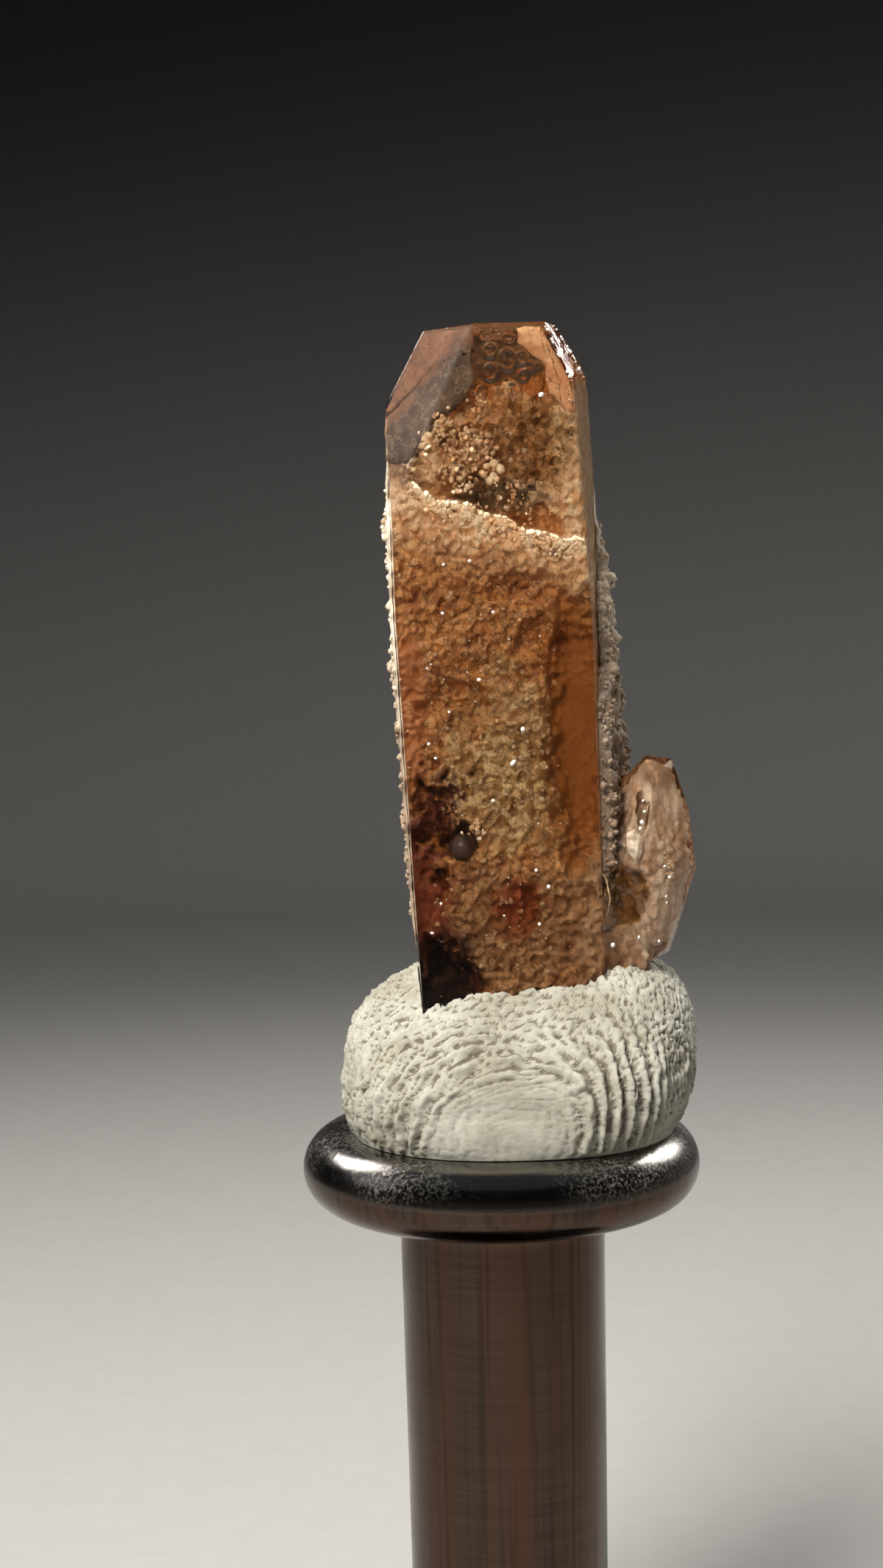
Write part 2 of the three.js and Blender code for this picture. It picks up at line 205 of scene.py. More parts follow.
LAMP_AIM = (0, 0, 24)
soft_lamp("lamp_left", (-93, 75, 114), LAMP_AIM, 50, 0.033, (1.0, 0.98, 0.95))
soft_lamp("lamp_right", (96, 88, 100), LAMP_AIM, 50, 0.042, (1.0, 0.98, 0.95))
soft_lamp("lamp_side", (-170, -5, 125), LAMP_AIM, 90, 0.0035, (0.93, 0.96, 1.0))
soft_lamp("lamp_front", (-50, -88, 128), LAMP_AIM, 55, 0.135, (1.0, 0.97, 0.93), False)

# The camera stands level with the crystal's middle, close to it, and leans a little, as the photograph
# was taken.
CAMERA_PLACE = (-1.27, -57.80, 31.935)
CAMERA_DOWN = math.radians(4.9)
CAMERA_LEAN = math.radians(1.35)
LONG_SIDE_LENS = 3200 / 2132 * 36
eye = bpy.data.cameras.new("camera")
eye.sensor_width = 36
eye.lens = LONG_SIDE_LENS
eye.clip_start, eye.clip_end = 1 * MM, 5000 * MM
camera = bpy.data.objects.new("camera", eye)
camera.location = Vector(CAMERA_PLACE) * MM
look = Vector((0, math.cos(CAMERA_DOWN), -math.sin(CAMERA_DOWN)))
upward = Vector((
    math.sin(CAMERA_LEAN),
    math.cos(CAMERA_LEAN) * math.sin(CAMERA_DOWN),
    math.cos(CAMERA_LEAN) * math.cos(CAMERA_DOWN),
))
camera.rotation_mode = "QUATERNION"
camera.rotation_quaternion = Matrix((look.cross(upward), upward, -look)).transposed().to_quaternion()
bpy.context.scene.collection.objects.link(camera)
bpy.context.scene.camera = camera
bpy.context.scene.view_settings.view_transform = "Standard"


# The stand is turned from one steel bar and polished: a foot, a slightly tapered post and a flange with a
# round rim. Putty and dust have left a dull speckled film on the flange, and the polish keeps faint
# turning marks. The flange's upper half is painted a brighter steel than the post and underside, a painted
# highlight.
FOOT_RADIUS = 9.5
FOOT_THICKNESS = 2.5
FOOT_ROUNDING = 0.6
POST_BASE_RADIUS = 2.44
POST_TOP_RADIUS = 2.55
POST_FILLET = 0.6
FLANGE_RADIUS = 4.93
FLANGE_MIDDLE = 17.5
RIM_RADIUS = 0.95
FLANGE_TOP = FLANGE_MIDDLE + RIM_RADIUS
FLANGE_UNDERSIDE = FLANGE_MIDDLE - RIM_RADIUS


def field(points, size, offset=0.0):
    """Smooth noise from about -1 to 1 at each point, with features of about that size."""
    scaled = np.asarray(points) / size + offset
    return np.array([noise.noise(p) for p in scaled.tolist()])


def cell_reach(scaled):
    """Distance from each point to the middle of its cell, for cells about 1 across."""
    return np.array([noise.voronoi(p)[0][0] for p in scaled.tolist()])


def smooth_step(value, low, high):
    """0 below the low end, 1 above the high one, and a smooth rise between."""
    share = np.clip((np.asarray(value, dtype=float) - low) / (high - low), 0, 1)
    return share * share * (3 - 2 * share)


def ring_normals(grid):
    """Outward unit normals of a grid of points, levels by steps, that closes on itself round the axis."""
    around = np.roll(grid, -1, axis=1) - np.roll(grid, 1, axis=1)
    upward = np.gradient(grid, axis=0)
    normals = np.cross(around, upward)
    return normals / np.maximum(np.linalg.norm(normals, axis=2, keepdims=True), 1e-9)


stand_profile = [(0, 0), (5, 0), (FOOT_RADIUS - 0.3, 0), (FOOT_RADIUS, 0.3)]
stand_profile += arc((FOOT_RADIUS - FOOT_ROUNDING, FOOT_THICKNESS - FOOT_ROUNDING), FOOT_ROUNDING, 0, 90, 8)
stand_profile += [(7.5, FOOT_THICKNESS), (5.5, FOOT_THICKNESS)]
stand_profile += arc(
    (POST_BASE_RADIUS + POST_FILLET, FOOT_THICKNESS + POST_FILLET), POST_FILLET, -90, -180, 8
)
stand_profile += [
    (POST_BASE_RADIUS + (POST_TOP_RADIUS - POST_BASE_RADIUS) * t, 3.3 + 12.5 * t) for t in np.linspace(
        0, 1, 8
    )
]
stand_profile += arc(
    (POST_TOP_RADIUS + POST_FILLET, FLANGE_UNDERSIDE - POST_FILLET), POST_FILLET, 180, 90, 10
)
stand_profile += arc((FLANGE_RADIUS - RIM_RADIUS, FLANGE_MIDDLE), RIM_RADIUS, -90, 90, 44)
stand_profile += [(3.4, FLANGE_TOP), (0, FLANGE_TOP)]
stand_points, stand_faces = turned(stand_profile, 560)
stand_points = np.array(stand_points)
radius = np.hypot(stand_points[:, 0], stand_points[:, 1])
rim_height = smooth_step(stand_points[:, 2], FLANGE_MIDDLE - 0.1, FLANGE_MIDDLE + 0.5)
film = field(stand_points, 0.9, 3.1) + 0.7 * field(stand_points, 0.35, 9.2)
film = smooth_step(film, -0.15, 0.35) * rim_height
flakes = smooth_step(field(stand_points, 0.12, 5.5), 0.1, 0.5) * 0.012
flakes += np.clip(field(stand_points, 0.2, 1.7), 0, 1) * 0.008
lift = (film * flakes * smooth_step(np.abs(stand_points[:, 0]), 1.2, 3.0))[:, None]
outward = np.stack([stand_points[:, 0], stand_points[:, 1], (stand_points[:, 2] - FLANGE_MIDDLE) * 3], axis=1)
outward /= np.maximum(np.linalg.norm(outward, axis=1, keepdims=True), 1e-9)
stand_points = stand_points + outward * lift * (radius > 3.5)[:, None]
stand = new_mesh("turned_stand", stand_points, stand_faces)
stand.data.set_sharp_from_angle(angle=math.radians(35))


def effect_group(name, inputs, outputs):
    """A node group with inputs (name, default) and outputs (name, kind): (group, in node, out node)."""
    group = bpy.data.node_groups.new(name, "ShaderNodeTree")
    for label, default in inputs:
        kind = "NodeSocketColor" if isinstance(default, tuple) else "NodeSocketFloat"
        socket = group.interface.new_socket(label, in_out="INPUT", socket_type=kind)
        socket.default_value = (*default, 1) if isinstance(default, tuple) else default
    for label, kind in outputs:
        group.interface.new_socket(label, in_out="OUTPUT", socket_type=kind)
    return group, group.nodes.new("NodeGroupInput"), group.nodes.new("NodeGroupOutput")


def in_millimetres(tree):
    """The object's own coordinates in millimetres, so that texture sizes read as real sizes."""
    place = put(tree, "ShaderNodeTexCoord").outputs["Object"]
    return put(tree, "ShaderNodeVectorMath", {0: place}, operation="SCALE", Scale=1 / MM).outputs[0]


def speckle_group():
    """Specks and clouds for dusty, sandy and crumbly surfaces: a fine mask, a coarse mask and a height."""
    group, given, result = effect_group(
        "specks_and_clouds",
        [("Speck Size", 0.1), ("Cloud Size", 1.0), ("Cover", 0.5), ("Softness", 0.15)],
        [("Specks", "NodeSocketFloat"), ("Clouds", "NodeSocketFloat"), ("Height", "NodeSocketFloat")],
    )
    where = in_millimetres(group)
    fine = sums(group, "DIVIDE", 1.0, given.outputs["Speck Size"])
    wide = sums(group, "DIVIDE", 1.0, given.outputs["Cloud Size"])
    grains = put(group, "ShaderNodeTexNoise", {"Vector": where, "Scale": fine}, Detail=4.0, Roughness=0.6)
    clouds = put(group, "ShaderNodeTexNoise", {"Vector": where, "Scale": wide}, Detail=5.0, Roughness=0.55)
    low = sums(group, "SUBTRACT", 1.0, given.outputs["Cover"])
    edge = sums(group, "ADD", low, given.outputs["Softness"])
    mask = put(group, "ShaderNodeMapRange", {0: grains.outputs["Fac"], 1: low, 2: edge})
    cloud_mask = put(group, "ShaderNodeMapRange", {0: clouds.outputs["Fac"]}, From_Min=0.38, From_Max=0.62)
    group.links.new(mask.outputs[0], result.inputs["Specks"])
    group.links.new(cloud_mask.outputs[0], result.inputs["Clouds"])
    group.links.new(grains.outputs["Fac"], result.inputs["Height"])
    return group


SPECKS = speckle_group()


def specks(tree, speck_size, cloud_size, cover, softness=0.15):
    """Places the specks-and-clouds effect in a material."""
    node = tree.nodes.new("ShaderNodeGroup")
    node.node_tree = SPECKS
    for label, value in zip(
        ("Speck Size", "Cloud Size", "Cover", "Softness"), (speck_size, cloud_size, cover, softness)
    ):
        node.inputs[label].default_value = value
    return node


def bump(tree, height, strength, distance, shader, after=None):
    """Feeds a height in millimetres into the shader's normal, after another normal if one is given."""
    node = put(tree, "ShaderNodeBump", {"Height": height}, Strength=strength, Distance=distance * MM)
    if after is not None:
        tree.links.new(after, node.inputs["Normal"])
    tree.links.new(node.outputs["Normal"], shader.inputs["Normal"])
    return node.outputs["Normal"]


steel, tree, shader = material("polished_steel")
where = in_millimetres(tree)
spread = put(tree, "ShaderNodeMapping", {"Vector": where}, Scale=(0.15, 0.15, 9.0))
marks = noise_of(tree, spread.outputs[0], 1.0, 4.0, 0.6)
film = specks(tree, 0.085, 1.6, 0.54, 0.34)
split = put(tree, "ShaderNodeSeparateXYZ", {0: where})
aside = ranged(tree, sums(tree, "ABSOLUTE", split.outputs["X"]), 1.0, 2.8, 0.03)
upper_rim_film_and_highlight = ranged(tree, split.outputs["Z"], FLANGE_MIDDLE - 0.1, FLANGE_MIDDLE + 0.4)
covered = times(tree, times(tree, film.outputs["Specks"], film.outputs["Clouds"]), upper_rim_film_and_highlight)
covered = times(tree, covered, aside)
along = put(tree, "ShaderNodeMapping", {"Vector": where}, Scale=(1.6, 1.6, 0.03))
streaks = noise_of(tree, along.outputs[0], 1.0, 3.0)
streaks = ranged(tree, streaks, 0.40, 0.62)
thin = put(tree, "ShaderNodeMapping", {"Vector": where}, Scale=(6.0, 6.0, 0.10))
thin = noise_of(tree, thin.outputs[0], 1.0, 3.0)
thin = ranged(tree, thin, 0.50, 0.68)
metal = mixed(tree, marks, (0.052, 0.036, 0.027), (0.108, 0.080, 0.063))
metal = mixed(tree, times(tree, streaks, 0.55), metal, (0.105, 0.048, 0.029))
metal = mixed(tree, times(tree, thin, 0.40), metal, (0.022, 0.014, 0.011))
# Painted highlight: the flange's upper half is given a brighter steel than the post and underside, so the
# lamps' reflections there come out stronger. The dust film also lies only on this upper half.
metal = mixed(tree, upper_rim_film_and_highlight, metal, mixed(tree, marks, (0.20, 0.185, 0.17), (0.30, 0.28, 0.26)))
tree.links.new(mixed(tree, covered, metal, (0.36, 0.345, 0.305)), shader.inputs["Base Color"])
bare = sums(tree, "SUBTRACT", 1.0, times(tree, covered, 0.75))
tree.links.new(bare, shader.inputs["Metallic"])
smudge = noise_of(tree, where, 0.5, 3.0)
dull = ranged(tree, smudge, 0.35, 0.7, 0.15, 0.30)
tree.links.new(sums(tree, "ADD", dull, times(tree, covered, 0.45)), shader.inputs["Roughness"])
first = bump(tree, marks, 0.12, 0.02, shader)
bump(tree, film.outputs["Height"], 0.15, 0.02, shader, first)
stand.data.materials.append(steel)
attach(stand, "root")
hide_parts("metal_stand")


# The tack is a lump of ivory mineral putty, rolled and pressed onto the flange and round the crystal's
# root by hand. Fingers left arched ridges about half a millimetre apart in its front and sides, and a
# grainy skin above them.
TACK_LEVELS = [  # height, left, right, front, back
    (FLANGE_TOP + 0.01, -3.65, 4.30, -3.95, 3.8),
    (19.40, -3.88, 4.66, -4.35, 4.2),
    (20.35, -3.80, 4.80, -4.25, 4.2),
    (21.30, -3.47, 4.76, -3.35, 3.8),
    (22.20, -2.39, 4.26, -1.50, 2.6),
    (22.70, -1.20, 3.00, -0.50, 1.3),
]
TACK_SQUARENESS = 2.3
TACK_PUSHES = [  # x, y, height, width of the places that fingers raised or dented
    (3.3, -1.8, 0.75, 1.3),
    (-2.0, -2.1, -0.30, 0.8),
]
RIDGE_PITCH = 0.54
FINE_PITCH = 0.29
RIDGE_HEIGHT = 0.18
WRINKLE_DEPTH = 0.07
PAD_RADIUS = 1.9
PAD_DEPTH = 0.24
FINGER_PRINTS = [  # place round the front, stretch to the left and right, middle's height, stretch upward
    (0.0, 1.35, 0.72, 0.3, 1.22),
    (9.2, 1.0, 1.0, 1.2, 0.8),
    (-9.2, 1.0, 1.0, 1.2, 0.8),
]


def through_levels(rows, shares):
    """Smooth curve through rows of numbers, at shares from 0 to 1 of the way along them."""
    rows = np.array([rows[0], *rows, rows[-1]], dtype=float)
    places = np.clip(np.asarray(shares) * (len(rows) - 3), 0, len(rows) - 3 - 1e-9)
    k = places.astype(int)
    t = (places - k)[:, None]
    p0, p1, p2, p3 = rows[k], rows[k + 1], rows[k + 2], rows[k + 3]
    v1, v2 = (p2 - p0) / 2, (p3 - p1) / 2
    return (2 * p1 - 2 * p2 + v1 + v2) * t**3 + (-3 * p1 + 3 * p2 - 2 * v1 - v2) * t**2 + v1 * t + p1


def grid_faces(levels, steps):
    """Quads between rings of points, and the rings' two lids as single faces."""
    faces = []
    for level in range(levels - 1):
        for i in range(steps):
            a, b = level * steps + i, level * steps + (i + 1) % steps
            faces.append((a, b, b + steps, a + steps))
    faces.append(tuple(reversed(range(steps))))
    faces.append(tuple((levels - 1) * steps + i for i in range(steps)))
    return faces


def finger_relief(points, around, upward):
    """Height of the finger ridges, the fingertip's hollow and the grainy skin, by distance round and up."""
    aside = smooth_step(np.abs(around), 3.0, 5.0)
    wander = (0.13 + 0.22 * aside) * field(points, 1.3, 4.0) + (0.11 + 0.07 * aside) * field(
        points, 0.45, 7.0
    )
    nearest = np.full(around.shape, 99.0)
    turned_by = np.zeros(around.shape)
    for place, left, right, lift, tall in FINGER_PRINTS:
        across = (around - place) / np.where(around < place, left, right)
        above = (upward - lift) / tall
        away = np.hypot(across, above)
        if place == FINGER_PRINTS[0][0]:
            in_hollow = 1 - smooth_step(away + 0.5 * wander, PAD_RADIUS - 1.1, PAD_RADIUS + 0.4)
        turned_by = np.where(away < nearest, np.arctan2(above, across), turned_by)
        nearest = np.minimum(nearest, away)
    pitch = FINE_PITCH + (RIDGE_PITCH - FINE_PITCH) * smooth_step(around, -0.8, 1.4) * (1 - 0.6 * aside)
    phase = (nearest - PAD_RADIUS + wander) * 2 * math.pi / pitch
    ridges = (0.5 + 0.5 * np.cos(phase)) ** 1.3
    right_side = smooth_step(around, 0.8, 1.6)
    clear = (1 - smooth_step(in_hollow, 0.15, 0.75)) * (1 - smooth_step(nearest, 4.6, 6.0))
    clear *= 1 - 0.65 * smooth_step(upward, 3.7, 4.7)
    smooth_top = smooth_step(upward, 1.9, 3.1) * smooth_step(around, 1.4, 2.8)
    clear *= (1 - 0.70 * smooth_step(upward, 2.9, 3.8) * right_side) * (1 - 0.85 * smooth_top) * (
        1 - 0.45 * aside
    )
    broken = smooth_step(field(points, 0.42, 2.0), -0.50, 0.10)
    broken = np.maximum(broken, 0.95 * right_side * (1 - smooth_step(upward, 2.8, 3.6)))
    relief = RIDGE_HEIGHT * ridges * clear * broken * (0.75 + 0.25 * smooth_step(around, -0.6, 0.8))
    arcs = np.column_stack([(nearest + 0.6 * wander) / 0.17, nearest * turned_by / 0.62, 0.3 * points[:, 2]])
    wrinkles = 1 - smooth_step(np.abs(field(arcs, 1.0, 5.0)), 0.0, 0.30)
    relief -= WRINKLE_DEPTH * wrinkles * (1 - 0.9 * in_hollow) * (1 - 0.6 * smooth_top)
    relief -= PAD_DEPTH * in_hollow * smooth_step(upward, 0.1, 1.3)
    drawn = field(np.column_stack([around / 0.16, upward / 0.9, 0 * around]), 1.0, 3.0)
    relief += 0.022 * drawn * in_hollow
    cells = cell_reach(points / 0.34)
    cell_zone = np.exp(-(((around - 0.2) / 1.1) ** 2 + ((upward - 3.2) / 0.50) ** 2))
    relief -= cell_zone * 0.20 * (1 - smooth_step(cells, 0.05, 0.42))
    mottled = (0.45 + 0.75 * smooth_step(upward, 1.6, 3.0)) * (1 - 0.7 * in_hollow)
    creases = 1 - smooth_step(np.abs(field(points, 0.30, 11.0)), 0.0, 0.13)
    relief += mottled * (
        0.040 * field(points, 0.15, 1.0) + 0.022 * field(points, 0.08, 6.0) - 0.055 * creases
    )
    return relief + 0.07 * field(points, 1.7, 8.0)


def tack_points(steps, levels):
    """The lump's points: rounded rings through its levels, pushed by fingers and given their relief."""
    rows = through_levels(TACK_LEVELS, np.linspace(0, 1, levels))
    angles = np.arange(steps) * 2 * math.pi / steps
    power = 2 / TACK_SQUARENESS
    across = np.sign(np.cos(angles)) * np.abs(np.cos(angles)) ** power
    deep = np.sign(np.sin(angles)) * np.abs(np.sin(angles)) ** power
    z, left, right, front, back = (column[:, None] for column in rows.T)
    x = (left + right) / 2 + across * (right - left) / 2
    y = (front + back) / 2 + deep * (back - front) / 2
    share = np.linspace(0, 1, levels)[:, None]
    height = z + 0 * x
    for px, py, pushed, width in TACK_PUSHES:
        height = height + share * pushed * np.exp(-((x - px) ** 2 + (y - py) ** 2) / width**2)
    grid = np.stack([x, y, height], axis=2)
    normals = ring_normals(grid)
    steps_up = np.linalg.norm(np.diff(grid, axis=0, prepend=grid[:1]), axis=2)
    upward = np.cumsum(steps_up, axis=0).ravel()
    front_turn = (angles + math.pi / 2 + math.pi) % (2 * math.pi) - math.pi
    around = np.tile(front_turn * 4.2, levels)
    flat = grid.reshape(-1, 3)
    relief = finger_relief(flat, around, upward) * smooth_step(upward, 0.0, 0.25)
    return flat + normals.reshape(-1, 3) * relief[:, None]


TACK_STEPS, TACK_RINGS = ((520, 160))
tack = new_mesh("putty_lump", tack_points(TACK_STEPS, TACK_RINGS), grid_faces(TACK_RINGS, TACK_STEPS))

putty, tree, shader = material("ivory_putty")
skin = specks(tree, 0.16, 1.6, 0.52, 0.3)
tone = mixed(tree, skin.outputs["Clouds"], (0.33, 0.31, 0.245), (0.45, 0.437, 0.37))
tone = mixed(tree, times(tree, skin.outputs["Specks"], 0.35), tone, (0.20, 0.172, 0.12))
# Painted shade: the putty is darkened in its creases, where its surface turns sharply inward.
painted_crease_shade = put(tree, "ShaderNodeNewGeometry").outputs["Pointiness"]
painted_crease_shade = ranged(tree, painted_crease_shade, 0.497, 0.465, 0.0, 0.75)
tone = mixed(tree, painted_crease_shade, tone, (0.105, 0.080, 0.050))
tree.links.new(tone, shader.inputs["Base Color"])
dull = ranged(tree, skin.outputs["Height"], 0.0, 1.0, 0.62, 0.85)
tree.links.new(dull, shader.inputs["Roughness"])
shader.inputs["Specular IOR Level"].default_value = 0.35
bump(tree, skin.outputs["Height"], 0.5, 0.035, shader)
tack.data.materials.append(putty)
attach(tack, "root")
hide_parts("mineral_tack")


# The topaz: one clear sherry-brown crystal with flat prism faces, a bevelled tip and a growth step across
# its front, grown together at its root with a small spindle-shaped crystal. Its faces are glossy and
# faintly etched.
FRONT = -1.75
PRISM_LEVELS = (38.8, 31.0, 20.5)
PRISM_CORNERS = [  # depth, then sideways place at each level
    (FRONT, -2.38, -2.27, -1.79),
    (FRONT, 1.84, 2.40, 2.55),
    (0.15, 2.40, 2.78, 3.02),
    (2.10, 1.25, 1.58, 1.85),
    (2.20, -1.55, -1.40, -0.95),
    (0.30, -2.46, -2.37, -1.88),
]
TIP = 38.0
TIP_FACETS = [  # three points in each facet's plane and a direction outward
    ((1.355, FRONT, TIP), (-0.1, FRONT, TIP), (-1.455, -0.6, 37.95), (0, 0, 1)),
    ((-0.1, FRONT, TIP), (-2.1, FRONT, 33.78), (-1.455, -0.6, 37.95), (-1, 0, 0)),
    ((-1.455, -0.6, 37.95), (-2.385, 0.3, 36.25), (-1.455, 0.4, 37.95), (-1, 0, 0)),
    ((1.355, FRONT, TIP), (2.003, FRONT, 36.585), (1.66, -1.08, TIP), (1, 0, 0)),
    ((1.66, -1.08, TIP), (2.48, 0, 36.775), (1.66, 0, TIP), (1, 0, 0)),
    ((0, 0.9, 37.9), (0, 2.2, 35.6), (1, 0.9, 37.9), (0, 1, 0)),
]
LEDGE_DEPTH = 0.12
LEDGE_LINE = [
    (-2.7, 34.9), (-2.0, 34.45), (-1.25, 33.86), (-0.45, 33.75), (-0.05, 33.5), (0.45, 33.42),
    (0.8, 33.12), (1.3, 33.05), (1.75, 32.88), (2.9, 32.8),
]
SIDE_CORNERS = [
    (3.72, -0.55, 27.62), (4.35, -0.5, 27.52), (4.3, 0.1, 27.45), (3.8, 0.1, 27.5),
    (4.43, -0.4, 27.25), (4.77, -0.4, 26.27), (4.93, -0.4, 24.83), (4.52, -0.4, 23.49),
    (4.23, -0.4, 22.73), (3.0, -0.4, 26.88), (2.4, -0.4, 25.4), (2.4, -0.4, 22.9),
    (3.84, -0.95, 27.2), (3.62, -1.3, 25.9), (3.6, -1.3, 24.2), (4.35, -1.1, 24.9),
    (3.7, -1.05, 22.6), (4.1, -0.9, 22.9), (2.7, -1.15, 25.2), (2.6, -1.2, 22.8),
    (3.8, 0.75, 26.2), (4.3, 0.6, 24.8), (3.6, 0.75, 23.4), (2.6, 0.75, 25.2),
]
ROOT_CORNERS = [
    (2.0, -1.70, 20.9), (3.3, -1.25, 20.9), (3.45, 0.5, 20.9), (2.0, 0.7, 20.9),
    (2.05, -1.73, 24.4), (2.95, -1.4, 25.0), (3.68, -1.2, 22.55), (3.78, -1.15, 23.6),
    (3.7, 0.6, 23.6), (3.68, 0.5, 22.5), (2.6, 0.7, 25.2),
]


def convex(name, points):
    """The convex solid round a few corner points."""
    shape = bmesh.new()
    for p in points:
        shape.verts.new(Vector(p) * MM)
    bmesh.ops.convex_hull(shape, input=shape.verts)
    loose = [v for v in shape.verts if not v.link_faces]
    bmesh.ops.delete(shape, geom=loose, context="VERTS")
    bmesh.ops.dissolve_limit(shape, angle_limit=0.01, verts=shape.verts, edges=shape.edges)
    bmesh.ops.recalc_face_normals(shape, faces=shape.faces)
    return object_of(name, shape)


def object_of(name, shape):
    """Makes an object of an edited shape."""
    mesh = bpy.data.meshes.new(name)
    shape.to_mesh(mesh)
    shape.free()
    piece = bpy.data.objects.new(name, mesh)
    bpy.context.scene.collection.objects.link(piece)
    return piece


def cut_flat(piece, facets):
    """Cuts a solid by planes and closes each cut with a flat face."""
    shape = bmesh.new()
    shape.from_mesh(piece.data)
    for a, b, c, outward in facets:
        a, b, c = (Vector(p) * MM for p in (a, b, c))
        normal = (b - a).cross(c - a).normalized()
        if normal.dot(Vector(outward)) < 0:
            normal.negate()
        geom = shape.verts[:] + shape.edges[:] + shape.faces[:]
        bmesh.ops.bisect_plane(shape, geom=geom, dist=1e-8, plane_co=a, plane_no=normal, clear_outer=True)
        open_edges = [e for e in shape.edges if e.is_boundary]
        bmesh.ops.contextual_create(shape, geom=open_edges)
    bmesh.ops.recalc_face_normals(shape, faces=shape.faces)
    shape.to_mesh(piece.data)
    shape.free()


def joined(piece, other, operation):
    """Boolean of two solids by Blender's exact solver; the other one is used up."""
    step = piece.modifiers.new("join", "BOOLEAN")
    step.operation = operation
    step.solver = "EXACT"
    step.object = other
    graph = bpy.context.evaluated_depsgraph_get()
    mesh = bpy.data.meshes.new_from_object(piece.evaluated_get(graph))
    piece.modifiers.clear()
    old = piece.data
    piece.data = mesh
    bpy.data.meshes.remove(old)
    bpy.data.objects.remove(other)


def prism_corners(margin=0.0):
    """The prism's corners at its three levels, moved outward by a margin."""
    points = []
    for level, z in enumerate(PRISM_LEVELS):
        middle = sum(corner[1 + level] for corner in PRISM_CORNERS) / len(PRISM_CORNERS)
        for corner in PRISM_CORNERS:
            x, y = corner[1 + level], corner[0]
            points.append((x + math.copysign(margin, x - middle), y + math.copysign(margin, y), z))
    return points


def soften_edges(piece, width):
    """A narrow worn bevel along the sharp edges."""
    shape = bmesh.new()
    shape.from_mesh(piece.data)
    sharp = [e for e in shape.edges if len(e.link_faces) == 2 and e.calc_face_angle() > math.radians(8)]
    bmesh.ops.bevel(
        shape, geom=sharp, offset=width * MM, segments=2, profile=0.5, affect="EDGES", clamp_overlap=True
    )
    shape.to_mesh(piece.data)
    shape.free()


topaz = convex("topaz_clear", prism_corners())
cut_flat(topaz, TIP_FACETS)
soften_edges(topaz, 0.022)
slab = bmesh.new()
outline = [(LEDGE_LINE[0][0], TIP + 1), *LEDGE_LINE, (LEDGE_LINE[-1][0], TIP + 1)]
front_ring = [slab.verts.new(Vector((x, FRONT + LEDGE_DEPTH - 1, z)) * MM) for x, z in outline]
back_ring = [slab.verts.new(Vector((x, FRONT + LEDGE_DEPTH, z)) * MM) for x, z in outline]
slab.faces.new(front_ring)
slab.faces.new(list(reversed(back_ring)))
for i in range(len(outline)):
    k = (i + 1) % len(outline)
    slab.faces.new((front_ring[i], back_ring[i], back_ring[k], front_ring[k]))
bmesh.ops.recalc_face_normals(slab, faces=slab.faces)
joined(topaz, object_of("slab", slab), "DIFFERENCE")
side = convex("side", SIDE_CORNERS)
soften_edges(side, 0.02)
joined(topaz, side, "UNION")
joined(topaz, convex("root", ROOT_CORNERS), "UNION")


def gridded(piece, cuts):
    """Slices chosen faces into a fine grid for their relief: cuts are (axis, values, which faces)."""
    shape = bmesh.new()
    shape.from_mesh(piece.data)
    for axis, values, chosen in cuts:
        for value in values:
            faces = [f for f in shape.faces if chosen(f)]
            edges = {e for f in faces for e in f.edges}
            verts = {v for f in faces for v in f.verts}
            place, normal = [0, 0, 0], [0, 0, 0]
            place[axis], normal[axis] = value * MM, 1
            bmesh.ops.bisect_plane(
                shape, geom=[*verts, *edges, *faces], dist=1e-8, plane_co=place, plane_no=normal
            )
    shape.to_mesh(piece.data)
    shape.free()


def faces_front(face):
    """Whether a face belongs to the broad front."""
    return face.normal.y < -0.9 and face.calc_center_median().y < -1.4 * MM


def faces_back_slope(face):
    """Whether a face belongs to the tip's slope at the back."""
    return face.normal.y > 0.7 and face.normal.z > 0.3 and face.calc_center_median().z > 35.5 * MM


def faces_side_front(face):
    """Whether a face belongs to the front of the small side crystal."""
    centre = face.calc_center_median() / MM
    return face.normal.y < -0.15 and centre.x > 2.45 and centre.z < 27.4 and centre.y > FRONT + 0.02


STEP = 0.09
FINE = 0.036
gridded(topaz, [
    (2, np.arange(21.0, 33.0, STEP), faces_front),
    (2, np.arange(33.0, TIP, FINE), faces_front),
    (0, np.arange(-2.4, 2.6, FINE), lambda f: faces_front(f) and f.calc_center_median().z > 32.7 * MM),
    (0, np.arange(-2.4, 2.6, STEP), lambda f: faces_front(f) and f.calc_center_median().z < 32.8 * MM),
    (2, np.arange(35.6, TIP, STEP), faces_back_slope),
    (0, np.arange(-2.4, 2.6, STEP), faces_back_slope),
    (2, np.arange(21.0, 27.4, 0.7 * STEP), faces_side_front),
    (0, np.arange(2.45, 5.0, 0.7 * STEP), faces_side_front),
])
topaz.data.polygons.foreach_set("use_smooth", [True] * len(topaz.data.polygons))
topaz.data.set_sharp_from_angle(angle=math.radians(10))


def near_line(points, line, width):
    """1 on a line of (x, z) points as seen from the front, fading to 0 over its width."""
    best = np.full(len(points), 99.0)
    flat = points[:, [0, 2]]
    for a, b in zip(np.array(line[:-1]), np.array(line[1:])):
        share = np.clip((flat - a) @ (b - a) / ((b - a) @ (b - a)), 0, 1)
        best = np.minimum(best, np.linalg.norm(flat - a - share[:, None] * (b - a), axis=1))
    return np.exp(-((best / width) ** 2))


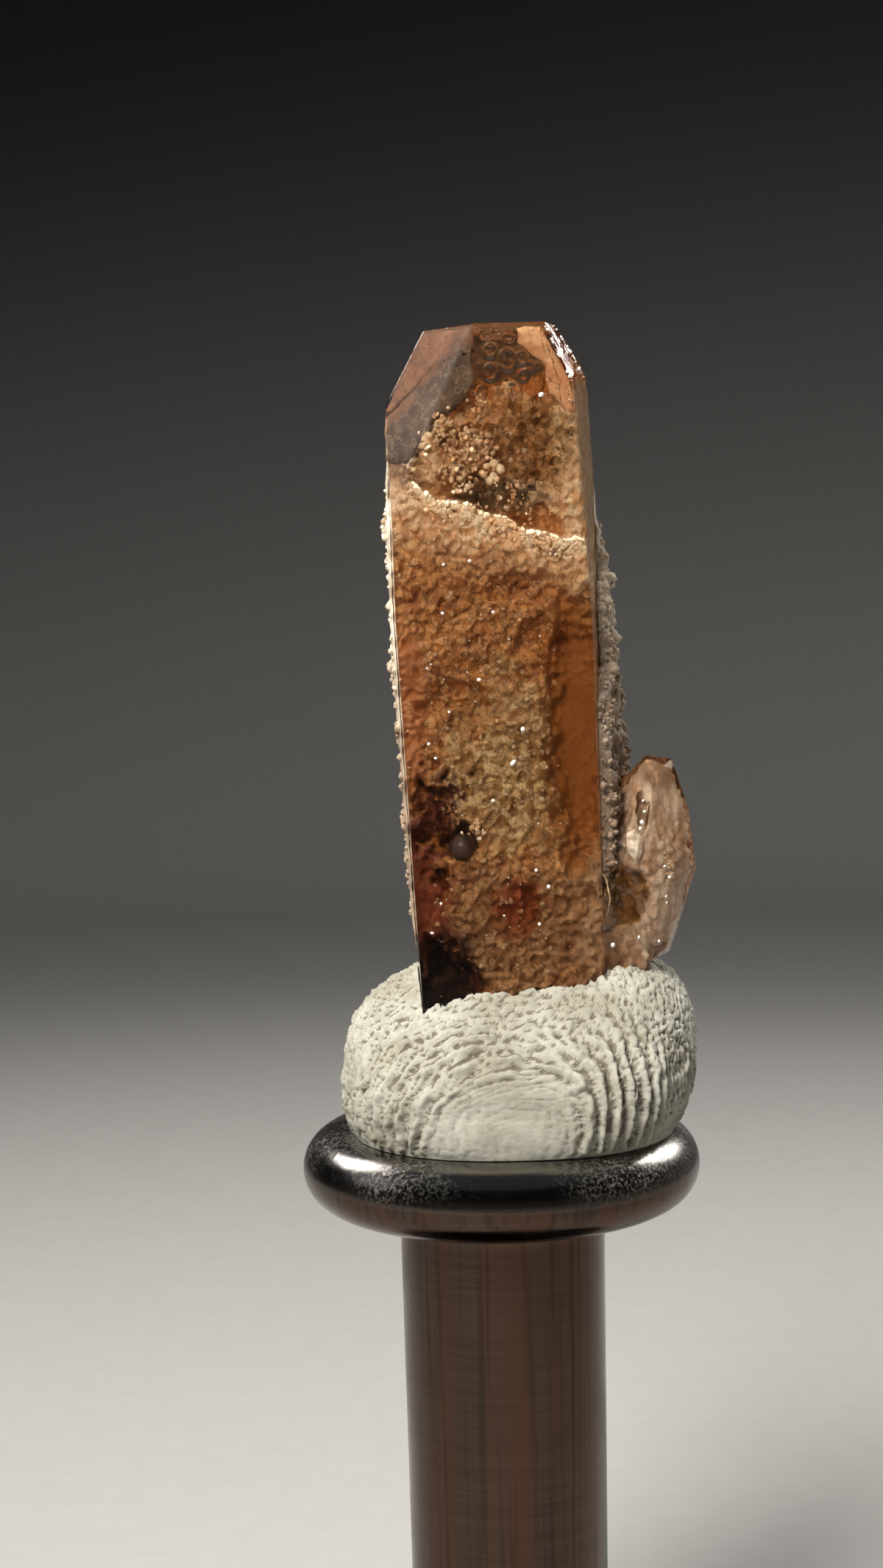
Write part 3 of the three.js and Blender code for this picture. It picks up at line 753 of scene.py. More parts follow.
ROOT_CRACK = [(2.20, 25.35), (2.45, 25.0), (2.64, 24.72), (2.72, 24.23), (2.66, 23.95), (2.50, 23.6)]
ROOT_LINE = [(2.24, 23.6), (2.20, 23.3), (2.12, 22.9), (2.04, 22.3)]
SIDE_RIDGE = [
    (3.75, 27.1), (3.60, 26.3), (3.53, 25.7), (3.45, 25.2), (3.74, 24.7), (3.84, 24.3), (3.80, 23.8)
]
ETCH_MARKS = [  # sideways, height, radius of the ring marks that stand out below the tip
    (0.05, 37.75, 0.10), (0.28, 37.80, 0.11), (0.55, 37.70, 0.13), (0.12, 37.35, 0.13), (0.52, 37.12, 0.20),
    (0.86, 37.15, 0.12), (0.12, 36.85, 0.15), (0.88, 36.75, 0.10), (0.60, 36.45, 0.12), (-0.10, 36.40, 0.10),
    (1.05, 36.95, 0.08), (1.52, 37.18, 0.07), (1.02, 37.78, 0.10), (0.30, 36.05, 0.09),
]
WORM_DEPTH = 0.022
ETCH_RING_DEPTH = 0.045
PIT_DEPTH = 0.03
random.seed(11)
etch_rings = [(x, z, size, 1.0) for x, z, size in ETCH_MARKS]
etch_rings += [
    (
        random.uniform(-0.6, 1.9), random.uniform(35.2, 37.7), random.uniform(0.03, 0.07),
        random.uniform(0.2, 0.5)
    )
    for _ in range(70)
]
coordinates = np.empty(len(topaz.data.vertices) * 3)
topaz.data.vertices.foreach_get("co", coordinates)
points = coordinates.reshape(-1, 3) / MM
on_front = (points[:, 1] < -1.6) & (points[:, 2] > 21) & (points[:, 0] < 2.5)
front = points[on_front]
worms = np.abs(field(front * np.array([0.8, 1, 1.25]), 0.17, 3.0))
wormy = smooth_step(front[:, 2], 34.0, 34.6) * (1 - smooth_step(front[:, 2], 36.0, 36.8))
relief = wormy * WORM_DEPTH * (smooth_step(worms, 0.0, 0.16) - 1) + 0.004 * field(front, 0.6, 1.0)
for x, z, size, strength in etch_rings:
    away = np.hypot(front[:, 0] - x, (front[:, 2] - z) * 0.85)
    relief += strength * ETCH_RING_DEPTH * np.exp(-(((away - size) / 0.030) ** 2))
inside = smooth_step(front[:, 2], 33.4, 33.9) * (1 - smooth_step(front[:, 2], 37.75, 37.95))
relief = relief * np.maximum(inside, 0.15)
relief += 0.045 * near_line(front, ROOT_CRACK, 0.05) - 0.03 * near_line(front, ROOT_LINE, 0.04)
points[on_front, 1] -= relief
on_side = (points[:, 1] < -0.42) & (points[:, 0] > 2.35) & ~on_front
on_side &= (points[:, 2] > 22.0) & (points[:, 2] < 27.3)
flank = points[on_side]
stripes = field(flank * np.array([1, 0.3, 0.22]), 0.13, 5.0)
steps = np.round(2.2 * field(flank * np.array([1, 0.5, 0.45]), 0.55, 2.0)) * 0.035
pitted = np.exp(-((flank[:, 0] - 4.12) / 0.25) ** 2 - ((flank[:, 2] - 24.9) / 0.75) ** 2)
pitted += np.exp(-((flank[:, 0] - 2.85) / 0.25) ** 2 - ((flank[:, 2] - 26.1) / 0.9) ** 2)
relief = 0.012 * stripes + steps + 0.05 * pitted * field(flank, 0.11, 8.0) + 0.06 * near_line(
    flank, SIDE_RIDGE, 0.07
)
relief += 0.06 * near_line(flank, ROOT_CRACK, 0.05)
relief *= smooth_step(-flank[:, 1], 0.42, 0.62)
points[on_side, 1] -= relief
slope = (points[:, 1] > 0.95) & (points[:, 2] > 35.7) & (points[:, 2] < 37.85) & (np.abs(points[:, 0]) < 1.9)
back = points[slope]
pits = 0.6 * field(back, 0.45, 6.0) + 0.3 * field(back, 0.2, 2.0)
pits *= smooth_step(back[:, 2], 35.7, 36.0) * smooth_step(1.9 - np.abs(back[:, 0]), 0.0, 0.4)
points[slope] -= (PIT_DEPTH * (pits + 0.8))[:, None] * np.array([0, 0.87, 0.49])
topaz.data.vertices.foreach_set("co", (points * MM).ravel())
topaz.data.update()

clear, tree, shader = material("sherry_topaz")
where = in_millimetres(tree)
shader.inputs["Base Color"].default_value = (1.0, 0.97, 0.93, 1)
shader.inputs["Transmission Weight"].default_value = 1.0
shader.inputs["IOR"].default_value = 1.62
grown = put(tree, "ShaderNodeMapping", {"Vector": where}, Scale=(7.0, 7.0, 0.35))
lines = noise_of(tree, grown.outputs[0], 1.0, 3.0)
etched = specks(tree, 0.09, 0.9, 0.5)
frost = ranged(tree, etched.outputs["Clouds"], 0.0, 1.0, 0.015, 0.07)
split = put(tree, "ShaderNodeSeparateXYZ", {0: where})
behind = ranged(tree, split.outputs["Y"], 0.4, 1.1)
high_up = ranged(tree, split.outputs["Z"], 35.2, 35.8, 0.0, 0.24)
frost = sums(tree, "ADD", frost, times(tree, behind, high_up))
tree.links.new(frost, shader.inputs["Roughness"])
first = bump(tree, lines, 0.10, 0.02, shader)
rings = put(tree, "ShaderNodeTexVoronoi", {"Vector": where}, Scale=3.2).outputs["Distance"]
rings = sums(tree, "ABSOLUTE", sums(tree, "SUBTRACT", rings, 0.27))
rings = ranged(tree, rings, 0.12, 0.0, 0.0, 2.6)
mottles = noise_of(tree, where, 3.0, 4.0)
rings = sums(tree, "ADD", rings, times(tree, mottles, 7.0))
on_tip = ranged(tree, split.outputs["Z"], 34.9, 35.6)
etching = sums(tree, "ADD", etched.outputs["Height"], times(tree, rings, on_tip))
bump(tree, etching, 0.08, 0.02, shader, first)
tint = put(tree, "ShaderNodeVolumeAbsorption", Color=(0.68, 0.37, 0.02, 1), Density=760.0)
tree.links.new(tint.outputs[0], tree.nodes["Material Output"].inputs["Volume"])
topaz.data.materials.clear()
topaz.data.materials.append(clear)
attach(topaz, "root")
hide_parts("topaz_crystal")

# The putty closes tightly round the crystal, so its socket is the crystal's own root with a hair's
# breadth of room.
SOCKET_ROOM = 0.012
joined(tack, convex("socket", prism_corners(SOCKET_ROOM)), "DIFFERENCE")
grown_root = [
    (x + math.copysign(SOCKET_ROOM, x - 2.8), y + math.copysign(SOCKET_ROOM, y + 0.5), z)
    for x, y, z in ROOT_CORNERS
]
joined(tack, convex("root_socket", grown_root), "DIFFERENCE")


# Sand caught in the topaz while it grew fills the crystal below the ledge. It lies close behind the front
# face, further back in clear amber pockets, and deep in the hollow above the ledge, where pale grains
# hang in the clear crystal.
SAND_BASE, SAND_TOP = 20.75, 36.7
SIDE_INSET = 0.03
SAND_DEPTH = 0.17
HOLLOW_DEPTH = 0.70
LEDGE_FOOT_DEPTH = 0.45
THROUGH = 3.7
CLEAR_POCKETS = [  # sideways, height, half width, half height, depth, raggedness
    (2.05, 28.3, 0.75, 3.3, 0.60, 0.45),
    (-1.35, 22.0, 0.95, 1.2, 1.50, 0.49),
    (-1.95, 24.0, 0.80, 2.0, 0.40, 0.49),
    (-1.40, 26.3, 0.45, 0.9, 0.40, 2.80),
    (0.51, 24.0, 0.45, 0.5, 0.25, 2.00),
    (-0.80, 25.60, 0.40, 0.40, 0.40, 0.60),
    (1.08, 30.3, 0.60, 0.8, 0.30, 0.80),
    (-0.87, 29.1, 0.80, 0.5, 0.30, 0.80),
    (0.93, 31.7, 1.10, 0.4, 0.22, 0.80),
]


def prism_outline(z, inset):
    """The prism's six corners at a height, moved inward."""
    low = 1 if z < PRISM_LEVELS[1] else 0
    share = (z - PRISM_LEVELS[low + 1]) / (PRISM_LEVELS[low] - PRISM_LEVELS[low + 1])
    corners = np.array([(c[low + 2] + (c[low + 1] - c[low + 2]) * share, c[0]) for c in PRISM_CORNERS])
    away = corners - corners.mean(axis=0)
    return corners - np.sign(away) * inset


def outline_walk(corners, counts):
    """Points along a closed outline, with a stated number on each side."""
    ring = []
    for i, count in enumerate(counts):
        a, b = corners[i], corners[(i + 1) % len(corners)]
        ring += [a + (b - a) * t for t in np.arange(count) / count]
    return np.array(ring)


def behind_facets(points, room, straight_back=False):
    """Pushes points behind the tip's facets, with a little room: square to the facet, or straight back."""
    for a, b, c, outward in TIP_FACETS:
        a, b, c = np.array(a), np.array(b), np.array(c)
        normal = np.cross(b - a, c - a)
        normal = normal / np.linalg.norm(normal)
        if normal @ np.array(outward) < 0:
            normal = -normal
        over = np.maximum((points - a) @ normal + room, 0)
        way = np.array([0, 1 / normal[1], 0]) if straight_back and normal[1] < -0.3 else normal
        points = points - over[:, None] * way
    return points


def sand_depth(points):
    """How far behind the front face the sand begins."""
    x, z = points[:, 0], points[:, 2]
    flat = np.column_stack([x, np.zeros(len(x)), z])
    torn = 0.6 * field(flat, 0.5, 4.0) + 0.4 * field(flat, 0.22, 8.0)
    flakes = 1 - smooth_step(np.abs(field(flat, 0.27, 3.0)), 0.0, 0.30)
    depth = SAND_DEPTH + 0.07 * field(flat, 0.9, 2.0)
    calm = np.zeros(len(x))
    for px, pz, half_width, half_height, deep, ragged in CLEAR_POCKETS:
        reach = np.hypot((x - px) / half_width, (z - pz) / half_height) + ragged * torn
        share = 1 - smooth_step(reach, 0.55, 1.25)
        depth += deep * share
        if ragged < 0.5:
            calm = np.maximum(calm, share)
    ledge = np.interp(x, ledge_x, ledge_z) + 0.12 * torn
    depth -= 0.03 * smooth_step(z - ledge, -1.5, -0.7)
    above = smooth_step(z, ledge, ledge + 0.16)
    hollow = HOLLOW_DEPTH + LEDGE_FOOT_DEPTH * np.exp(-(((z - ledge) / 0.6) ** 2)) + 0.3 * torn
    right = smooth_step(x + 0.4 * torn, 1.25, 1.85)
    left = 1 - smooth_step(x + 0.45 * torn, -1.3, -0.5)
    hollow += (0.28 - hollow) * np.maximum(right, left)
    bank = np.hypot((x + 0.50) / 0.85, (z - 34.95) / 0.55) + 0.9 * torn
    hollow += (0.30 - hollow) * (1 - smooth_step(bank, 0.6, 1.1))
    window_edge = np.where(x < -0.26, 35.0 + 0.95 * (x + 2.03), 36.45)
    opened = smooth_step(z - window_edge + 0.3 * torn, -0.1, 0.3)
    hollow += (THROUGH - hollow) * opened
    depth = depth * (1 - above) + hollow * above
    grainy = (1 - 0.8 * calm) * (1 - opened * above)
    cells = cell_reach((flat + 0.1 * torn[:, None]) / 0.24)
    fine = 0.040 * field(flat, 0.13, 5.0) + 0.24 * (0.35 - cells)
    return np.maximum(depth - grainy * (0.095 * flakes + fine), 0.02)


SAND_COUNTS = ((112, 24, 18, 18, 18, 24))
SAND_RINGS = 345
sand_steps = sum(SAND_COUNTS)
ledge_x, ledge_z = np.array(LEDGE_LINE).T
rings, back_limits = [], []
for z in np.linspace(SAND_BASE, SAND_TOP, SAND_RINGS):
    corners = prism_outline(z, SIDE_INSET)
    ring = outline_walk(corners, SAND_COUNTS)
    rings.append(np.column_stack([ring, np.full(sand_steps, z)]))
    back = corners[[5, 4, 3, 2]]
    back_limits.append(np.interp(ring[:, 0], back[:, 0], back[:, 1]) - 0.05)
sand_points = np.array(rings).reshape(-1, 3)
deepest = np.concatenate(back_limits)
sand_points[:, 1] = np.maximum(sand_points[:, 1], np.minimum(FRONT + sand_depth(sand_points), deepest))
across = sand_points * np.array([1, 1, 0])
torn_top = 0.40 * field(across, 0.9, 2.0) + 0.25 * field(across, 0.3, 6.0)
sand_points[:, 2] += torn_top * smooth_step(sand_points[:, 2], 35.6, SAND_TOP)
cells = cell_reach(sand_points / 0.22)
sand_points = behind_facets(sand_points, 0.05 + 0.22 * cells + 0.05 * np.abs(field(sand_points, 0.16, 2.0)))
sand = new_mesh("sand_body", sand_points, grid_faces(SAND_RINGS, sand_steps))


def lumps(name, places, sizes, dents, seed, stretch=0.28):
    """Many small irregular grains as one mesh: each is a ball with its own stretch, turn and dents."""
    ball = bmesh.new()
    bmesh.ops.create_icosphere(ball, subdivisions=2, radius=1)
    base = np.array([v.co[:] for v in ball.verts])
    faces = np.array([[v.index for v in f.verts] for f in ball.faces])
    ball.free()
    draw = np.random.default_rng(seed)
    all_points, all_faces = [], []
    for number, (place, size) in enumerate(zip(places, sizes)):
        turn = np.array(Euler(draw.uniform(0, math.pi, 3)).to_matrix())
        shape = base * (1 + dents * draw.normal(size=(len(base), 1))) * draw.uniform(
            1 - stretch, 1 + stretch, 3
        )
        all_points.append(shape @ turn * size + place)
        all_faces.append(faces + number * len(base))
    return new_mesh(name, np.vstack(all_points), np.vstack(all_faces).tolist())


draw = np.random.default_rng(5)
on_front = np.arange(len(sand_points)) % sand_steps < SAND_COUNTS[0]
from_front = sand_points[:, 1] - FRONT
seen = np.flatnonzero(on_front & (from_front < 2.2) & (sand_points[:, 2] > 21.5))
sx, sz = sand_points[seen, 0], sand_points[seen, 2]
under_ledge = np.interp(sx, ledge_x, ledge_z) - sz
wanted = 0.6 + 2.5 * np.exp(-((under_ledge / 0.45) ** 2)) + 1.6 * np.exp(
    -(((sx - 0.4) / 1.2) ** 2 + ((sz - 27.6) / 1.6) ** 2)
)
wanted = wanted * (1 - 0.85 * (sx > 1.5) * (sz < 31.5)) * (1 - 0.8 * (sx < -1.5) * (sz < 25.5))
chosen = draw.choice(seen, 700, replace=False, p=wanted / wanted.sum())
sizes = np.clip(draw.lognormal(-3.25, 0.4, len(chosen)), 0.018, 0.09)
places = sand_points[chosen] + np.array([0, 0.2, 0]) * sizes[:, None]
grains = lumps("sand_grains", places, sizes, 0.10, 7)

CLOUDS = [  # sideways, depth, height, spread, number of grains, grain size
    (-1.10, -1.42, 35.80, 0.24, 36, 0.055),
    (-1.50, -1.45, 35.30, 0.30, 46, 0.055),
    (-0.20, -1.35, 36.10, 0.20, 16, 0.050),
    (-1.95, -1.45, 34.75, 0.22, 18, 0.050),
    (-0.60, -1.50, 34.18, 0.22, 12, 0.055),
    (0.55, -1.25, 33.80, 0.70, 80, 0.042),
    (-0.50, -1.62, 26.00, 0.22, 26, 0.045),
]
CREAM_LUMPS = [  # sideways, height, size of the round grains at the cloud's edge
    (0.30, 34.58, 0.13), (0.04, 34.31, 0.11), (-0.12, 34.48, 0.11), (0.15, 34.70, 0.09), (0.12, 34.43, 0.09),
    (-0.04, 34.98, 0.08), (-0.19, 35.20, 0.07), (0.46, 34.14, 0.05), (0.70, 34.18, 0.07), (
        -0.48, 34.18, 0.08
    ),
    (-0.73, 34.08, 0.07), (-0.02, 34.66, 0.09), (0.00, 34.85, 0.07), (-0.30, 34.60, 0.08), (
        0.20, 34.35, 0.08
    ),
]
cloud_places = [(x, -1.50, z) for x, z, size in CREAM_LUMPS]
cloud_sizes = [size for x, z, size in CREAM_LUMPS]
for _ in range(560):
    x = draw.uniform(-1.9, 2.15)
    below = min(abs(draw.normal(0, 0.24)), 0.7)
    cloud_places.append(
        (x, FRONT + 0.04 + 0.16 * below + draw.uniform(0, 0.05), np.interp(x, ledge_x, ledge_z) - below)
    )
    cloud_sizes.append(draw.uniform(0.025, 0.07))
for x, y, z, spread, number, size in CLOUDS:
    cloud_places += list(
        np.array([x, y, z]) + draw.normal(size=(number, 3)) * spread * np.array([0.6, 0.35, 0.5])
    )
    cloud_sizes += list(size * draw.uniform(0.55, 1.3, number))
cloud_places = behind_facets(np.array(cloud_places), 0.15)
cloud_places = [
    (x, max(y, FRONT + 1.1 * size) if z < 33.0 else y, z) for (x, y, z), size in zip(
        cloud_places, cloud_sizes
    )
]
clouds = lumps("pale_clouds", cloud_places, cloud_sizes, 0.05, 9)
bank_places = np.array([-0.50, -1.44, 34.95]) + draw.normal(size=(260, 3)) * np.array([0.42, 0.06, 0.30])
bank_sizes = np.clip(draw.lognormal(-2.95, 0.3, 260), 0.03, 0.09)

# Painted glints: every bubble and speck listed below is near-white, standing in for the glints of light on the
# crystal's bubble and grain surfaces. They sit in the body, in the small side crystal, along the tip's bevel
# and as tiny specks at the front face.
BUBBLES_AND_PAINTED_GLINTS = [  # sideways, height, size, those that stand out
    (-1.10, 32.35, 0.05), (-0.48, 32.42, 0.05), (-1.55, 29.9, 0.04), (-1.15, 31.2, 0.06), (0.05, 31.2, 0.045),
    (-0.32, 29.6, 0.065), (-1.05, 28.85, 0.05), (-1.55, 28.1, 0.05), (-1.40, 27.75, 0.05), (
        0.45, 27.6, 0.095
    ),
    (-0.05, 26.7, 0.06), (0.70, 28.4, 0.07), (0.95, 25.0, 0.05), (-1.35, 24.25, 0.05), (1.00, 23.7, 0.045),
    (1.29, 36.28, 0.09), (1.24, 24.6, 0.05), (-1.58, 23.54, 0.05),
]
SIDE_BUBBLES_AND_PAINTED_GLINTS = [  # sideways, height and size of the bubbles in the small side crystal
    (2.77, 23.10, 0.075), (3.42, 23.24, 0.05), (3.20, 22.41, 0.045), (4.09, 24.95, 0.05), (4.20, 24.68, 0.06),
    (4.11, 24.20, 0.05), (4.13, 24.05, 0.04), (3.93, 23.10, 0.055), (3.62, 26.30, 0.05), (3.55, 26.05, 0.06),
    (3.60, 26.55, 0.04), (3.50, 25.90, 0.05),
]
bubble_and_glint_places = [(x, FRONT - 0.3 * size, z) for x, z, size in BUBBLES_AND_PAINTED_GLINTS]
bubble_and_glint_sizes = [0.8 * size for x, z, size in BUBBLES_AND_PAINTED_GLINTS]
surface = BVHTree.FromPolygons(
    [v.co / MM for v in topaz.data.vertices], [p.vertices[:] for p in topaz.data.polygons]
)
for x, z, size in SIDE_BUBBLES_AND_PAINTED_GLINTS:
    skin_point = surface.ray_cast((x, -5, z), (0, 1, 0))[0]
    bubble_and_glint_places.append((x, skin_point.y + 0.3 * size, z))
    bubble_and_glint_sizes.append(0.8 * size)
for _ in range(60):
    x, z = draw.uniform(-1.9, 1.6), draw.uniform(23, 33.2)
    bubble_and_glint_places.append((x, FRONT + draw.uniform(-0.01, 0.06), z))
    bubble_and_glint_sizes.append(draw.uniform(0.008, 0.022))
# Painted highlights: white specks strewn along the edges of the tip's right bevel stand in for the light that
# glints on them.
PAINTED_EDGE_GLINTS = [  # both ends of a bevel's edge, number of glints on it
    ((1.42, FRONT - 0.02, 37.98), (2.08, FRONT - 0.02, 36.62), 14),
    ((1.72, -1.10, 37.95), (2.38, -0.75, 36.72), 24),
]
for start, end, number in PAINTED_EDGE_GLINTS:
    shares = draw.uniform(0, 1, (number, 1))
    strewn = np.array(start) * (1 - shares) + np.array(end) * shares + draw.normal(0, 0.03, (number, 3))
    strewn[:, 1] = np.maximum(strewn[:, 1], FRONT + 0.03)
    bubble_and_glint_places += list(behind_facets(strewn, 0.0))
    bubble_and_glint_sizes += list(draw.uniform(0.015, 0.045, number))
bubbles_and_glints = lumps("bubbles_and_painted_glints", bubble_and_glint_places, bubble_and_glint_sizes, 0.03, 13)


def core_of(name, corners, share, cuts, seed):
    """A rough sandy lump inside a convex shape, drawn in toward its middle."""
    corners = np.array(corners)
    middle = corners.mean(axis=0)
    shape = bmesh.new()
    for p in middle + (corners - middle) * share:
        shape.verts.new(p)
    bmesh.ops.convex_hull(shape, input=shape.verts)
    bmesh.ops.delete(shape, geom=[v for v in shape.verts if not v.link_faces], context="VERTS")
    bmesh.ops.subdivide_edges(shape, edges=shape.edges, cuts=cuts, use_grid_fill=True)
    points = np.array([v.co[:] for v in shape.verts])
    faces = [[v.index for v in f.verts] for f in shape.faces]
    shape.free()
    away = points - middle
    away /= np.linalg.norm(away, axis=1, keepdims=True)
    cells = cell_reach(points / 0.26 + seed)
    dents = 0.16 * field(points, 0.8, seed) + 0.26 * (cells - 0.35) + 0.04 * field(points, 0.13, seed)
    points -= away * np.maximum(dents + 0.05, -0.06)[:, None]
    recess = np.hypot((points[:, 0] - 3.20) / 0.52, (points[:, 2] - 24.20) / 0.72) + 0.3 * field(
        points, 0.3, seed
    )
    points[:, 1] += 0.35 * (1 - smooth_step(recess, 0.75, 1.05)) * (points[:, 1] < -0.4)
    gap = np.hypot((points[:, 0] - 3.58) / 0.12, (points[:, 2] - 26.25) / 0.42) + 0.5 * field(
        points, 0.25, seed
    )
    points[:, 1] += 0.40 * (1 - smooth_step(gap, 0.7, 1.05)) * (points[:, 1] < -0.4)
    return new_mesh(name, points, faces)


side_sand = core_of("side_sand", SIDE_CORNERS, 0.91, 26, 4.0)
root_sand = core_of("root_sand", ROOT_CORNERS, 0.90, 26, 9.0)
dark_bubble = lumps("dark_bubble", [(-0.80, FRONT + 0.34, 25.60)], [0.34], 0.0, 3, 0.03)


def along(line, step):
    """Points at even steps along a line of (x, z) points."""
    found = []
    for a, b in zip(np.array(line[:-1]), np.array(line[1:])):
        found += [a + (b - a) * t for t in np.arange(0, 1, step / np.linalg.norm(b - a))]
    return np.array(found)


crack = along(ROOT_CRACK, 0.03)
crack_places = np.column_stack(
    [crack[:, 0], np.where(crack[:, 0] < 2.42, FRONT + 0.03, FRONT + 0.16), crack[:, 1]]
)
side_places = list(crack_places) + list(
    np.array([4.12, -1.00, 24.85]) + draw.normal(size=(26, 3)) * np.array([0.09, 0.03, 0.32])
)
side_sizes = list(draw.uniform(0.010, 0.024, len(crack))) + list(draw.uniform(0.025, 0.07, 26))
loose_grains = lumps("loose_grains", side_places + list(bank_places), side_sizes + list(bank_sizes), 0.10, 31)
# Painted highlight: a pale chip in the small side crystal stands in for a facet there that catches the light.
FACET_HIGHLIGHT_CORNERS = [
    (3.17, -1.26, 25.78), (3.35, -1.37, 25.90), (3.54, -1.33, 25.70), (3.52, -1.33, 25.30), (
        3.41, -1.28, 24.98
    ),
    (3.18, -1.26, 25.36), (3.30, -1.39, 25.45), (3.35, -1.10, 25.42),
]
painted_facet_highlight = convex("painted_facet_highlight", FACET_HIGHLIGHT_CORNERS)
# Painted glow: an orange sheet inside the right of the tip stands in for the orange glow of light coming
# through it.
ORANGE_GLOW_OUTLINE = [
    (0.74, 37.86), (1.30, 37.90), (1.45, 37.66), (2.00, 36.60), (2.08, 35.90), (1.86, 35.84), (1.79, 36.05), (
        1.45, 36.36
    ),
    (1.83, 36.43), (1.50, 36.60), (1.41, 36.93), (1.26, 37.12), (0.93, 37.39), (0.76, 37.54),
]
# Painted shade and reflection: a dark sheet behind the tip's left facets stands in for the dark ground seen
# through them, in the greyish tones of the reflection over it. Above a slanting line it turns pink. A sheet of
# the same paint runs along the tip's left rim.
DARK_GROUND_OUTLINE = [
    (-0.34, 37.36), (-0.62, 37.52), (-1.11, 37.14), (-1.65, 36.60), (-2.12, 36.12), (-2.42, 35.88), (
        -2.42, 34.85
    ),
    (-1.90, 34.75), (-1.53, 35.25), (-1.45, 35.58), (-1.19, 35.80), (-0.80, 35.96), (-0.50, 36.28), (
        -0.30, 36.62
    ),
]
RIM_OUTLINE = [
    (-2.44, 35.90), (-1.86, 37.15), (-1.56, 37.86), (-0.24, 37.94), (-0.26, 37.30), (-0.62, 37.48), (
        -1.11, 37.10
    ),
    (-1.65, 36.56),
]
SHEET_DEPTH = FRONT + LEDGE_DEPTH + 0.14


def painted_light_sheet(name, outline, thickness=0.05, cuts=6):
    """A thin sheet of painted light inside the tip, close behind its faces, cut to an outline of (x, z) points.
    """
    shape = bmesh.new()
    near = [shape.verts.new((x, 0, z)) for x, z in outline]
    far = [shape.verts.new((x, 1, z)) for x, z in outline]
    shape.faces.new(near)
    shape.faces.new(list(reversed(far)))
    for i in range(len(outline)):
        k = (i + 1) % len(outline)
        shape.faces.new((near[i], far[i], far[k], near[k]))
    bmesh.ops.triangulate(shape, faces=shape.faces)
    bmesh.ops.subdivide_edges(shape, edges=shape.edges, cuts=cuts, use_grid_fill=True)
    bmesh.ops.recalc_face_normals(shape, faces=shape.faces)
    points = np.array([v.co[:] for v in shape.verts])
    faces = [[v.index for v in f.verts] for f in shape.faces]
    shape.free()
    share = points[:, 1].copy()
    flat = points * np.array([1, 0, 1])
    points[:, 1] = SHEET_DEPTH + thickness * share
    points[:, 0] += 0.05 * field(flat, 0.3, 1.0)
    points[:, 2] += 0.05 * field(flat, 0.3, 7.0)
    room = 0.06 + thickness * share + 0.02 * field(flat, 0.25, 3.0)
    points[:, 1] += 0.03 * field(flat, 0.4, 3.0)
    return new_mesh(name, behind_facets(points, room, True), faces)


glow_sheet = painted_light_sheet("orange_glow_paint", ORANGE_GLOW_OUTLINE)
rim = painted_light_sheet("left_rim_paint", RIM_OUTLINE)
dark_ground_sheet = painted_light_sheet("dark_ground_paint", DARK_GROUND_OUTLINE)


def spot_group():
    """A spot on the front: 1 inside an upright ellipse, 0 outside, with a ragged and soft edge."""
    group, given, result = effect_group(
        "ragged_spot",
        [
            ("Centre X", 0.0), ("Centre Z", 30.0), ("Half Width", 1.0), ("Half Height", 1.0), (
                "Raggedness", 0.5
            ),
            ("Softness", 0.35),
        ],
        [("Mask", "NodeSocketFloat")],
    )
    where = in_millimetres(group)
    split = put(group, "ShaderNodeSeparateXYZ", {0: where})
    x = sums(group, "SUBTRACT", split.outputs["X"], given.outputs["Centre X"])
    x = sums(group, "DIVIDE", x, given.outputs["Half Width"])
    z = sums(group, "SUBTRACT", split.outputs["Z"], given.outputs["Centre Z"])
    z = sums(group, "DIVIDE", z, given.outputs["Half Height"])
    reach = sums(group, "SQRT", sums(group, "ADD", times(group, x, x), times(group, z, z)))
    torn = noise_of(group, where, 1.6, 5.0, 0.65)
    torn = times(group, sums(group, "SUBTRACT", torn, 0.5), given.outputs["Raggedness"])
    edge = sums(group, "ADD", reach, torn)
    outer = sums(group, "ADD", 0.9, given.outputs["Softness"])
    inner = sums(group, "SUBTRACT", 0.9, given.outputs["Softness"])
    mask = put(group, "ShaderNodeMapRange", {0: edge, 1: outer, 2: inner}, interpolation_type="SMOOTHSTEP")
    group.links.new(mask.outputs[0], result.inputs["Mask"])
    return group


SPOT = spot_group()


def spot(tree, x, z, half_width, half_height, raggedness=1.2, softness=0.35):
    """Places a ragged spot in a material and gives its mask."""
    node = tree.nodes.new("ShaderNodeGroup")
    node.node_tree = SPOT
    labels = ("Centre X", "Centre Z", "Half Width", "Half Height", "Raggedness", "Softness")
    for label, value in zip(labels, (x, z, half_width, half_height, raggedness, softness)):
        node.inputs[label].default_value = value
    return node.outputs["Mask"]


